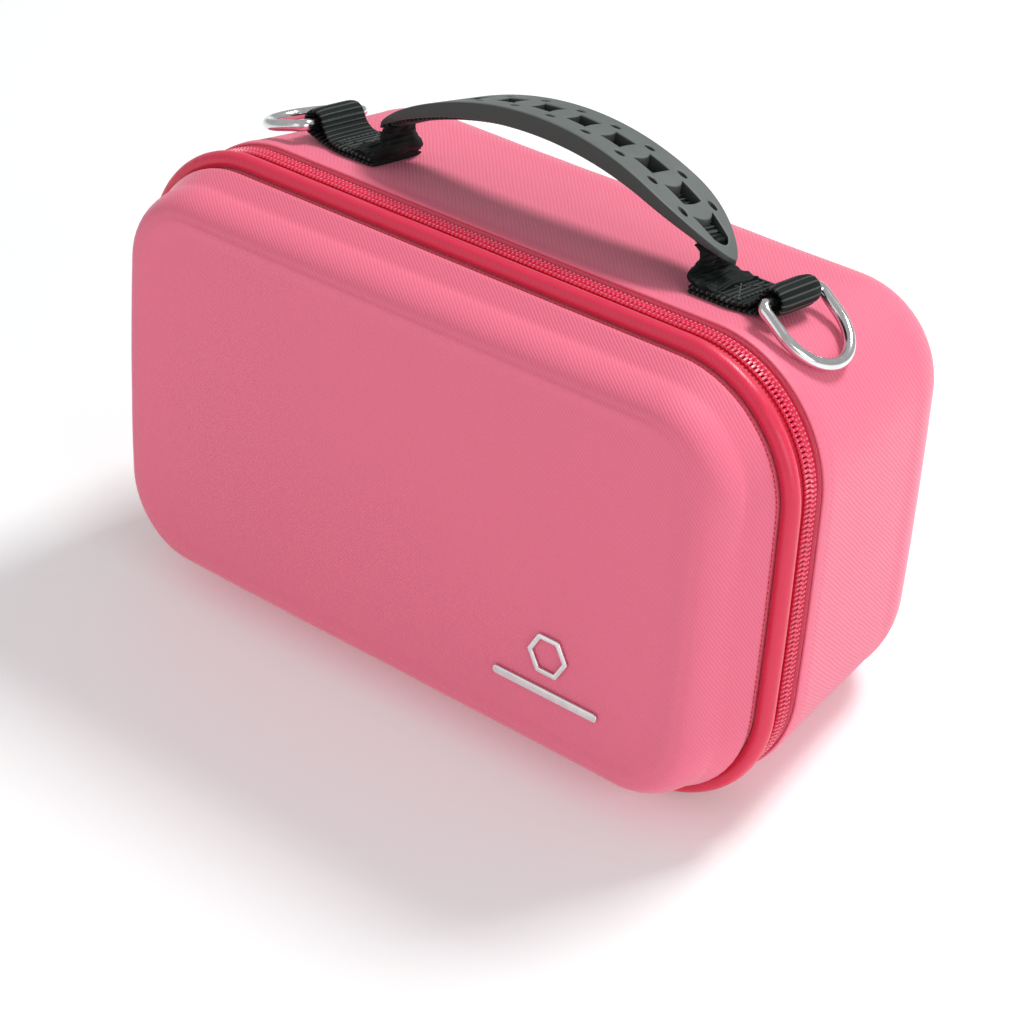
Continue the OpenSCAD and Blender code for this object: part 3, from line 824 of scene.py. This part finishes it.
def strap(bm, path, thick, rib, crumple=0.0, seed=0.0, paint_crest_highlight=True):
    """Webbing along a path of (x, z, width): ribs run across it, selvedges are thin.

    The last flag gives the crest rows of the ribs the second material, a lighter one that paints
    their highlight.
    """
    rows, painted_highlight_rows, dist = [], [], 0.0
    for i, p in enumerate(path):
        q, r = path[max(i - 1, 0)], path[min(i + 1, len(path) - 1)]
        tangent = Vector((r[0] - q[0], 0, r[1] - q[1])).normalized()
        up = Vector((-tangent.z, 0, tangent.x))
        dist += math.hypot(p[0] - q[0], p[1] - q[1])
        beat = math.cos(2 * math.pi * dist / RIB_PITCH)
        ridge = rib * beat
        # Rows near each rib's top take the lighter material, a painted highlight
        painted_highlight_rows.append(paint_crest_highlight and ridge > 0.72 * rib)
        row = []
        for face in (1, -1):
            for k in range(ACROSS + 1):
                v = lerp(-1, 1, k / ACROSS) * face
                edge = 1 - 0.55 * abs(v) ** 6
                y = v * p[2] / 2 * (1 + 0.008 * beat)
                raised = (ridge if face > 0 else ridge * 0.5) * (1 - abs(v) ** 8)
                h = face * (thick / 2 + raised) * edge
                c = Vector((p[0], y, p[1])) + up * h
                if crumple:
                    c += up * crumple * noise.noise(Vector((dist * 0.35, v * 2.2, seed)))
                row.append(c)
        rows.append(row)
    first = len(bm.faces)
    add_solid(bm, rows)
    bm.faces.ensure_lookup_table()
    per_row = len(rows[0])
    for i, face in enumerate(bm.faces[first:-2]):
        face.material_index = 1 if painted_highlight_rows[i // per_row] else 0


def loop_points():
    """Centre line of the strap: flat, up the fold, round the ring's bar and back."""
    pts = [(52.6, 0.68, STRAP_W), (56, 0.68, STRAP_W), (60, 0.68, STRAP_W), (64, 0.66, STRAP_W),
           (68.5, 0.7, 18.5), (72, 1.0, 17.2)]
    for a in range(-70, 161, 20):
        c = math.radians(a)
        pts.append((LOOP_X + LOOP_R * math.cos(c), LOOP_Z + LOOP_R * math.sin(c), LOOP_W))
    pts += [(71.6, 4.2, 16.8), (69.6, 2.5, 17.6), (67.6, 1.97, 18.6),
            (65, 1.95, STRAP_W), (61, 1.95, STRAP_W), (57, 1.95, STRAP_W), (52.8, 1.9, STRAP_W)]
    return smooth_path(pts)


def build_anchors():
    for side, word in SIDES:
        bm = bmesh.new()
        strap(bm, loop_points(), ANCHOR_T, 0.24)
        piece(f"strap_anchor_{word}_webbing", bm, ["webbing", "rib"], "case_body", "webbing",
              [f"strap_anchor_{word}"], on_top(side))

    # A stitched box with both diagonals on each anchor
    bm = bmesh.new()
    x0, x1, w, z = BOX_IN_X, BOX_OUT_X, BOX_W, ANCHOR_TOP_Z
    box = [(x0, -w / 2), (x1, -w / 2), (x1, w / 2), (x0, w / 2), (x0, -w / 2), (x1, w / 2)]
    lines = list(zip(box, box[1:])) + [((x0, w / 2), (x1, -w / 2))]
    for side, _ in SIDES:
        threads = bmesh.new()
        for (ax, ay), (bx, by) in lines:
            n = round(math.hypot(bx - ax, by - ay) / DASH_PITCH)
            for i in range(n):
                a, b = i / n, (i + 0.75) / n
                capsule(threads, Vector((lerp(ax, bx, a), lerp(ay, by, a), z)),
                        Vector((lerp(ax, bx, b), lerp(ay, by, b), z)), 0.24)
        place(threads, on_top(side))
        join_into(bm, threads)
    piece("anchor_stitching", bm, "thread", "case_body", "thread", ["anchor_stitches"],
          at=None)


def ring_path():
    """Centre line of a D-ring: its bar along Y, then the arms and the bow out in X."""
    arm, bow, bend = RING_ARM, RING_BOW, RING_BEND
    path = [(0, lerp(-bow + bend, bow - bend, i / 12)) for i in range(13)]
    path += [(bend * (1 - math.cos(a)), bow - bend + bend * math.sin(a)) for a in quarter(6)[1:]]
    path += [(lerp(bend, arm, i / 4), bow) for i in range(1, 5)]
    path += [(arm + bow * math.sin(a), bow * math.cos(a))
             for a in [math.pi * i / 40 for i in range(1, 40)]]
    path += [(lerp(arm, bend, i / 4), -bow) for i in range(4)]
    path += [(bend * (1 - math.sin(a)), -bow + bend * (1 - math.cos(a))) for a in quarter(6)[:6]]
    return [Vector((x, y, 0)) for x, y in path]


def build_rings():
    path, flat = ring_path(), Vector((0, 0, 1))
    for side, word in SIDES:
        bm = bmesh.new()
        rows = []
        for i, p in enumerate(path):
            out = (path[(i + 1) % len(path)] - path[i - 1]).normalized().cross(flat)
            weld = 1 + 0.09 * math.exp(-((p.y / 0.9) ** 2)) * (1 if p.x < 0.1 else 0)
            rows.append([p + (out * math.cos(a) + flat * math.sin(a)) * RING_WIRE * weld
                         for a in turns(20)])
        add_grid(bm, rows, True)
        droop = Matrix.Rotation(math.radians(RING_DROOP[side]), 4, "Y")
        piece(f"d_ring_{word}_wire", bm, "nickel", f"d_ring_{word}", "ring_metal",
              [f"d_ring_{word}"], on_top(side) @ shift(LOOP_X, 0, LOOP_Z) @ droop)


# ---- Handle ----

GRIP_HALF, GRIP_RISE, GRIP_W, GRIP_T = 59.0, 20.4, 22.5, 5.0
TIP_H, TIP_T = 5.0, 1.2
APEX_H = TIP_H + GRIP_RISE
UNDER_RISE = GRIP_RISE - GRIP_T + TIP_T
TOP_R = (GRIP_HALF ** 2 + GRIP_RISE ** 2) / (2 * GRIP_RISE)
UNDER_R = (GRIP_HALF ** 2 + UNDER_RISE ** 2) / (2 * UNDER_RISE)
TOP_C, UNDER_C = APEX_H - TOP_R, APEX_H - GRIP_T - UNDER_R
TAPER_X, TAPER_POWER = 36.0, 0.75
WINDOW_COUNT, WINDOW_PITCH, WINDOW_L, WINDOW_W = 10, 11.7, 6.6, 8.0
VENT_Y, VENT_L, VENT_W = 6.4, 3.0, 1.8
ARCH_X, ARCH_DROP = 52.0, 0.35


def grip_edge(x):
    t = max(abs(x) - TAPER_X, 0) / (GRIP_HALF - TAPER_X)
    return GRIP_W / 2 * max(1 - t * t, 0) ** TAPER_POWER


def top_z(x):
    return TOP_C + math.sqrt(TOP_R ** 2 - x * x)


def under_z(x):
    return UNDER_C + math.sqrt(UNDER_R ** 2 - x * x)


def plate(loops, depth, bevel):
    """A bevelled plate with holes from closed loops of (x, y), as a bmesh in mm.

    Holes grow by the bevel, so loops must lie more than two bevels apart.
    """
    cu = bpy.data.curves.new("plate", "CURVE")
    cu.dimensions, cu.fill_mode = "2D", "BOTH"
    cu.extrude, cu.bevel_depth, cu.bevel_resolution = depth / 2 - bevel, bevel, 3
    cu.offset = -bevel
    for loop in loops:
        sp = cu.splines.new("POLY")
        sp.points.add(len(loop) - 1)
        for pt, (x, y) in zip(sp.points, loop):
            pt.co = (x, y, 0, 1)
        sp.use_cyclic_u = True
    ob = add_object("plate", cu)
    dg = bpy.context.evaluated_depsgraph_get()
    me = bpy.data.meshes.new_from_object(ob.evaluated_get(dg))
    bm = bmesh.new()
    bm.from_mesh(me)
    bpy.data.objects.remove(ob)
    bpy.data.curves.remove(cu)
    bpy.data.meshes.remove(me)
    bmesh.ops.remove_doubles(bm, verts=bm.verts, dist=1e-4)
    return bm


def window_x(k):
    """Place of the window k pitches along the grip's top from its middle."""
    return TOP_R * math.sin(k * WINDOW_PITCH / TOP_R)


def window_loop(index):
    """A squarish window whose cross edges bow, more so for the windows near the tips."""
    cx, lean = window_x(index), abs(index) * 2 / (WINDOW_COUNT - 1)
    half_l, half_w, r = WINDOW_L / 2, WINDOW_W / 2 * (0.92 + 0.2 * lean ** 2), 0.9
    out_bow, in_bow = 0.5 - 0.8 * lean - 1.5 * lean ** 6, 0.4 + 1.2 * lean
    sign = 1 if index >= 0 else -1
    pinch = 1 - 0.3 * lean ** 6
    steps = [lerp(-1, 1, i / 8) for i in range(9)]
    pts = [(half_l - out_bow * (1 - v * v), v * (half_w - r * 0.3) * pinch) for v in steps]
    pts += [(-half_l + in_bow * (1 - v * v), v * (half_w - r * 0.3)) for v in reversed(steps)]
    return [(cx + sign * x, y) for x, y in pts]


def build_grip():
    xs = [i - GRIP_HALF for i in range(int(2 * GRIP_HALF) + 1)]
    edge = [(x, -grip_edge(x)) for x in xs] + [(x, grip_edge(x)) for x in reversed(xs[1:-1])]
    loops = [edge] + [window_loop(i - (WINDOW_COUNT - 1) / 2) for i in range(WINDOW_COUNT)]
    for i in range(WINDOW_COUNT - 1):
        x = window_x(i - (WINDOW_COUNT - 2) / 2)
        for y in (-VENT_Y, VENT_Y):
            loops.append(oval(x, y, VENT_L / 2, VENT_W / 2))
    bm = plate(loops, GRIP_T, 0.5)
    for x in xs[1:-1]:  # cuts that let the plate bend
        geom = bm.verts[:] + bm.edges[:] + bm.faces[:]
        bmesh.ops.bisect_plane(bm, geom=geom, plane_co=(x, 0, 0), plane_no=(1, 0, 0))
    bm.normal_update()
    # Steep faces, the grip's sides and the walls of its windows and vents, take the darker rubber
    # as painted shade
    for f in bm.faces:
        f.material_index = 1 if abs(f.normal.z) < 0.35 else 0
    for v in bm.verts:
        x = min(max(v.co.x, -GRIP_HALF), GRIP_HALF)
        v.co.z = lerp(under_z(x), top_z(x), v.co.z / GRIP_T + 0.5)
    piece("grip_moulding", bm, ["rubber", "rubber_painted_shade"], "handle", "grip_rubber", ["handle_grip"],
          AT_GRIP, GRIP_SHARP)

    bm = bmesh.new()
    path = []
    for i in range(361):
        x = lerp(-ARCH_X, ARCH_X, i / 360)
        path.append((x, under_z(x) - ARCH_DROP, lerp(15.0, 12.5, smooth((abs(x) - 44) / 7))))
    strap(bm, path, 1.5, 0.2)
    piece("handle_webbing_arch", bm, ["webbing", "rib"], "handle", "webbing", ["handle_webbing"],
          AT_GRIP)

    for side, word in SIDES:
        z0 = under_z(ARCH_X) - ARCH_DROP + PIVOT_H
        pts = [(51.0, z0 + 0.9, 12.8), (52.6, z0 - 0.8, 12.8), (53.0, z0 - 2.6, 13.4),
               (52.3, z0 - 4.6, 15.2), (51.6, z0 - 6.4, 17.4), (52.2, 2.95, 18.6),
               (54.4, 2.5, 18.8), (57.4, 2.45, 18.6), (60.6, 2.3, 18.2)]
        bm = bmesh.new()
        strap(bm, smooth_path(pts), 1.9, 0.22, 0.9, side * 3.3, False)
        for v in bm.verts:
            v.co.y += 0.6 * noise.noise(v.co * 0.35 + Vector((0, 0, side)))
        neck = piece(f"webbing_neck_{word}", bm, "webbing", None, "webbing", at=on_top(side))
        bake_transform(neck)


# ---- Slider and pull ----

SLIDER_Z, SLIDER_L, SLIDER_W, SLIDER_T = 40.0, 11.0, 6.6, 1.4
SLIDER_OUT = TAPE_OUT + 2 * COIL_R + 0.3
PIN_Z, PIN_OUT, PIN_R = SLIDER_Z + 4.4, SLIDER_OUT + SLIDER_T + 1.9, 0.8
PULL_L, PULL_W, PULL_T = 22.0, 7.0, 1.3
SIDE_SWELL = -crown(-HALF_W, 47.0) - HALF_W
ON_LEFT = CASE @ MIRROR @ shift(HALF_W + SIDE_SWELL, 0, 0)
# Plate loops are drawn as (along the case's Y, up its Z), with thickness outwards
FACE_OUT = Matrix(((0, 0, 1, 0), (1, 0, 0, 0), (0, 1, 0, 0), (0, 0, 0, 1)))
# or as (up the case's Z, outwards), with thickness along its Y
FACE_SIDE = Matrix(((0, 1, 0, 0), (0, 0, 1, 0), (1, 0, 0, 0), (0, 0, 0, 1)))


def rounded_poly(points, r, n=4):
    """Rounds each corner of a polygon by r, or less where the edges are short."""
    out = []
    m = len(points)
    for i in range(m):
        p, a, b = (Vector(points[j % m]) for j in (i, i - 1, i + 1))
        ra = min(r, (a - p).length * 0.45, (b - p).length * 0.45)
        u, v = p + (a - p).normalized() * ra, p + (b - p).normalized() * ra
        for k in range(n + 1):
            t = k / n
            q = u * (1 - t) ** 2 + p * 2 * t * (1 - t) + v * t * t
            out.append((q.x, q.y))
    return out


def tube(bm, path, r, n):
    rows = []
    for i, p in enumerate(path):
        t = (path[min(i + 1, len(path) - 1)] - path[max(i - 1, 0)]).normalized()
        a = t.cross(Vector((1, 0, 0)))
        if a.length < 0.2:
            a = t.cross(Vector((0, 0, 1)))
        a.normalize()
        b = t.cross(a)
        rows.append([p + (a * math.cos(c) + b * math.sin(c)) * r for c in turns(n)])
    add_solid(bm, rows)


def build_slider():
    s, nose = SLIDER_W / 2, 2.4
    plan = [(-s, nose), (-s + 1.7, 0), (s - 1.7, 0), (s, nose), (s - 0.5, SLIDER_L - nose),
            (s - 1.9, SLIDER_L), (-s + 1.9, SLIDER_L), (-s + 0.5, SLIDER_L - nose)]
    bm = bmesh.new()
    join_into(bm, plate([rounded_poly(plan, 1.2)], SLIDER_T, 0.35),
              shift(SLIDER_OUT + SLIDER_T / 2, 0, SLIDER_Z) @ FACE_OUT)
    flange = rounded_poly([(2.0, 0), (SLIDER_L - 2.0, 0), (SLIDER_L - 2.6, -1.7), (2.6, -1.7)], 0.5)
    join_into(bm, plate([flange], 0.7, 0.15), shift(SLIDER_OUT + 0.1, 2.9, SLIDER_Z) @ FACE_SIDE)
    # Bridge that carries the pull: two cheeks and the pin, under a low arch
    cheek = [(PIN_Z + z - SLIDER_Z, out) for z, out in
             ((-1.5, -0.1), (1.5, -0.1), (1.2, 1.9), (0.75, 2.6), (0, 2.85), (-0.75, 2.6),
              (-1.2, 1.9))]
    for y in (-2.55, 2.55):
        join_into(bm, plate([rounded_poly(cheek, 0.4, 2)], 0.9, 0.2),
                  shift(SLIDER_OUT + SLIDER_T, y, SLIDER_Z) @ FACE_SIDE)
    tube(bm, [Vector((PIN_OUT, y, PIN_Z)) for y in (-2.8, -2.7, 0.0, 2.7, 2.8)], PIN_R, 16)
    # Raised rib between the bridge and the slider's tail
    tube(bm, [Vector((SLIDER_OUT + SLIDER_T + h, 0, SLIDER_Z + z)) for z, h in
              ((6.6, 0.0), (7.4, 0.25), (9.0, 0.3), (10.4, 0.0))], 0.6, 10)
    piece("slider_casting", bm, "slider", "slider", "slider_metal", ["zip_slider"], ON_LEFT,
          METAL_SHARP)

    s = PULL_W / 2
    outline = [(-1.9, 0.6), (1.9, 0.6), (1.95, -3.6), (2.4, -4.6), (s, -5.6)]
    for a in range(0, -181, -15):
        c = math.radians(a)
        outline.append((s * math.cos(c), -PULL_L + s * math.sin(c)))
    outline += [(-s, -5.6), (-2.4, -4.6), (-1.95, -3.6)]
    slot = rounded_rect(-1.4, 1.4, -PULL_L, -10.0, 1.3, 4)
    bm = bmesh.new()
    join_into(bm, plate([outline, slot], PULL_T, 0.3), FACE_OUT)
    # Barrel round the pin, then the raised rim of the tab
    add_solid(bm, [[Vector((1.65 * k * math.cos(a), y, 1.65 * k * math.sin(a))) for a in turns(20)]
                   for y, k in ((-1.9, 0.86), (-1.75, 1.0), (1.75, 1.0), (1.9, 0.86))])
    rim = [Vector((PULL_T / 2 - 0.1, 2.35 * math.cos(a), -17.0 + 6.3 * math.sin(a)))
           for a in turns(40)]
    rows, out = [], Vector((1, 0, 0))
    for i, p in enumerate(rim):
        side = (rim[(i + 1) % 40] - rim[i - 1]).normalized().cross(out)
        rows.append([p + (out * math.cos(a) + side * math.sin(a)) * 0.28 for a in turns(8)])
    add_grid(bm, rows, True)
    piece("pull_tab", bm, "slider", "pull", "slider_metal", ["zip_pull"],
          ON_LEFT @ shift(PIN_OUT, 0, PIN_Z), METAL_SHARP)


# ---- Inside ----

DIVIDER_IN, HOOK_T, DIVIDER_T, DIVIDER_Y = WALL_T + LINING_T + 0.4, 1.2, 6.0, 9.0


def divider_outline(t, n=10):
    """Half-round outline of the divider in the case's (y, z), inset by t."""
    end = body_wall(BODY_STRAIGHT_Y)
    y0 = DIVIDER_Y + t - DIVIDER_IN
    r = REAR_R - t
    low = RIM_LOW + t + (DIVIDER_Y - LIP_Y) * tan_deg(LEAN)
    high = CASE_H - RIM_SIDE - t - (DIVIDER_Y - LIP_Y) * tan_deg(TOP_DRAFT)
    arc = quarter(n)
    return [(y0, low)] \
        + [(BODY_STRAIGHT_Y + r * math.sin(a), end[2] + t + r * (1 - math.cos(a))) for a in arc] \
        + [(BODY_STRAIGHT_Y + r * math.sin(a), CASE_H - end[3] - t - r * (1 - math.cos(a)))
           for a in reversed(arc)] + [(y0, high)]


def simulate_pad(obj, cap_mm, frames=20):
    """Inflates a remeshed pad with Cloth, capping how far each point may move."""
    scene = bpy.context.scene
    cloth = obj.modifiers.new("Cloth", "CLOTH")
    cs = cloth.settings
    cs.use_pressure, cs.uniform_pressure_force = True, 4.0
    cs.effector_weights.gravity = 0.0
    cs.tension_stiffness = cs.compression_stiffness = 20.0
    cloth.point_cache.frame_start, cloth.point_cache.frame_end = 1, frames
    start = [v.co.copy() for v in obj.data.vertices]
    for f in range(1, frames + 1):
        scene.frame_set(f)
    dg = bpy.context.evaluated_depsgraph_get()
    done = obj.evaluated_get(dg).to_mesh()
    end = [v.co.copy() for v in done.vertices]
    obj.evaluated_get(dg).to_mesh_clear()
    obj.modifiers.remove(cloth)
    for v, a, b in zip(obj.data.vertices, start, end):
        move = b - a
        if move.length > cap_mm * MM:
            move.length = cap_mm * MM
        v.co = a + move
    scene.frame_set(1)


def apply_modifier(obj, kind, **settings):
    mod = obj.modifiers.new(kind, kind)
    for key, value in settings.items():
        setattr(mod, key, value)
    dg = bpy.context.evaluated_depsgraph_get()
    me = bpy.data.meshes.new_from_object(obj.evaluated_get(dg))
    obj.modifiers.remove(mod)
    old, obj.data = obj.data, me
    bpy.data.meshes.remove(old)


def build_divider():
    bm = bmesh.new()
    loop = rounded_poly(divider_outline(DIVIDER_IN + HOOK_T + 0.9), 2.0, 3)
    join_into(bm, plate([loop], DIVIDER_T - 1.6, 1.2), FACE_OUT)
    pad = piece("divider_pad", bm, "divider", "divider", "divider_fabric", ["divider_board"])
    apply_modifier(pad, "REMESH", mode="VOXEL", voxel_size=0.003)
    simulate_pad(pad, 1.1)
    apply_modifier(pad, "SUBSURF", levels=1, render_levels=1)
    pad.data.materials.clear()
    pad.data.materials.append(MATS["divider"])
    for poly in pad.data.polygons:
        poly.use_smooth = True

    outer, inner = divider_outline(DIVIDER_IN + 0.1), divider_outline(DIVIDER_IN + HOOK_T)
    bm = bmesh.new()
    half = DIVIDER_T / 2 - 0.4
    section = ((-half, 0), (half, 0), (half, 0.7), (half - 0.3, 1), (-half + 0.3, 1), (-half, 0.7))
    add_solid(bm, [[Vector((x, lerp(iy, oy, t), lerp(iz, oz, t))) for x, t in section]
                   for (oy, oz), (iy, iz) in zip(outer, inner)])
    piece("divider_hook_strip", bm, "hook", "divider", "hook_tape", ["divider_hook_edge"])


POCKET_Y, POCKET_H, ELASTIC_H = 9.0, 78.0, 9.0
POCKET_IN = SEAM_IN + WALL_T + LINING_T + 0.3


def pocket_half(z):
    """Half width of the lid's hollow at height z."""
    r = CORNER_R - SEAM_IN - WALL_T - LINING_T
    drop = POCKET_IN + r - z
    return HALF_W - POCKET_IN - (r - math.sqrt(max(r * r - drop * drop, 0)) if drop > 0 else 0)


def sheet_band(bm, z0, z1, t, nz, sag, gather):
    """A gathered sheet t thick from height z0 to z1, sagging towards the inside."""
    rows = []
    nx = 150
    for j in range(nz + 1):
        z = lerp(z0, z1, j / nz)
        half = pocket_half(z)
        rise = min((z - POCKET_IN) / (POCKET_H - POCKET_IN), 1)
        front, back = [], []
        for i in range(nx + 1):
            u = lerp(-1, 1, i / nx)
            puff = sag * (1 - u * u) * math.sin(math.pi * rise * 0.62)
            fold = gather * math.cos(u * 105) * (0.4 + 0.6 * smooth((z - z0) / (z1 - z0)))
            x = crown(u * half, z)
            front.append(Vector((x, -POCKET_Y + puff + fold + t / 2, z)))
            back.append(Vector((x, -POCKET_Y + puff + fold - t / 2, z)))
        rows.append(front + back[::-1])
    add_solid(bm, rows)


def build_pocket():
    top = POCKET_H - ELASTIC_H
    bm = bmesh.new()
    sheet_band(bm, POCKET_IN + 0.05, top, 0.7, 26, 0.5, 0.16)
    panel = piece("lid_pocket_mesh", bm, "mesh", "lid", "pocket_mesh", ["lid_pocket_panel"])
    bm = bmesh.new()
    sheet_band(bm, top, POCKET_H, 1.5, 8, 0.5, 0.22)
    band = piece("lid_pocket_elastic_band", bm, "elastic", "lid", "elastic",
                 ["lid_pocket_elastic"])


# ---- Emblem ----

EMBLEM_X, EMBLEM_STAND_OFF = 55.0, 0.7


def build_emblem():
    up = Matrix(((1, 0, 0, 0), (0, 0, -1, 0), (0, 1, 0, 0), (0, 0, 0, 1)))
    hexagon = [rounded_poly(circle(0, 0, r, 6), turn, 3) for r, turn in ((6.5, 0.5), (4.9, 0.4))]
    bar = [rounded_rect(-17, 17, -1.2, 1.2, 1.0, 4)]
    for name, loops, z, node in (("emblem_hexagon_ring", hexagon, 39.0, "emblem_hexagon"),
                                 ("emblem_bar_plate", bar, 28.0, "emblem_bar")):
        bm = plate(loops, 0.8, 0.22)
        piece(name, bm, "emblem", "lid", "emblem_metal", [node],
              CASE @ shift(crown(EMBLEM_X, z), -LID_D - EMBLEM_STAND_OFF, z) @ up, METAL_SHARP)


# ---- Stage ----

FLOOR_HALF, FLOOR_Z = 30.0, -0.00002
LIGHT_TARGET, WORLD_STRENGTH = (0, 0.0, 0.07), 0.42
# The camera fitted to the case's straight edges: its axes and place in the frame, in metres
CAMERA_LENS, CAMERA_SENSOR = 97.86, 36.0
CAMERA_AXES = ((0.76379, 0.64544, 0.00537), (-0.35948, 0.41845, 0.83407),
               (0.5361, -0.63898, 0.55164))
CAMERA_AT = (0.41096, -0.490915, 0.457958)


def area_light(name, position, size, power, colour=(1, 1, 1)):
    data = bpy.data.lights.new(name, "AREA")
    data.shape, data.size, data.size_y = "RECTANGLE", size[0], size[1]
    data.energy, data.color = power, colour
    ob = add_object(name, data)
    ob.location = position
    aim = Vector(LIGHT_TARGET) - Vector(position)
    ob.rotation_euler = aim.to_track_quat("-Z", "Y").to_euler()


def build_stage():
    bm = bmesh.new()
    bm.faces.new([bm.verts.new((x * FLOOR_HALF, y * FLOOR_HALF, FLOOR_Z))
                  for x, y in ((-1, -1), (1, -1), (1, 1), (-1, 1))])
    me = to_mesh("studio_floor", bm)
    # Slightly cool and faintly glowing, so that it stays white beside the pink case
    k = Look("studio_floor", 0.7, Specular_IOR_Level=0.2, Emission_Color=(1, 1, 1, 1),
             Emission_Strength=0.14)
    tone = k.noise(k.coords(1.0, 0.0), 1.5, 2.0)
    white = k.ramp(tone, (0.0, (0.89, 0.93, 0.93, 1)), (1.0, (0.91, 0.95, 0.95, 1)))
    me.materials.append(k.finish(white))
    add_object("studio_floor", me)

    area_light("key", (0.25, 0.75, 1.25), (0.38, 0.38), 14.0, (1.0, 0.99, 0.98))
    area_light("fill_front", (-0.5, -1.3, 0.7), (1.4, 1.0), 2.6, (0.98, 0.99, 1.0))
    area_light("fill_right", (1.4, -0.4, 0.6), (0.8, 0.8), 5.6)
    world = bpy.data.worlds.new("studio")
    world.use_nodes = True
    bg = world.node_tree.nodes["Background"]
    bg.inputs[0].default_value = (1, 1, 1, 1)
    bg.inputs[1].default_value = WORLD_STRENGTH
    bpy.context.scene.world = world
    bpy.context.scene.view_settings.view_transform = "Standard"

    cam = bpy.data.cameras.new("camera")
    cam.lens, cam.sensor_width = CAMERA_LENS, CAMERA_SENSOR
    cam.clip_start, cam.clip_end = 0.05, 60.0
    ob = add_object("camera", cam)
    mat = Matrix(CAMERA_AXES).transposed().to_4x4()
    mat.translation = CAMERA_AT
    ob.matrix_world = mat
    bpy.context.scene.camera = ob


build_stage()
build_shells()
build_zip()
build_trim()
build_anchors()
build_rings()
build_grip()
build_slider()
build_divider()
build_pocket()
build_emblem()
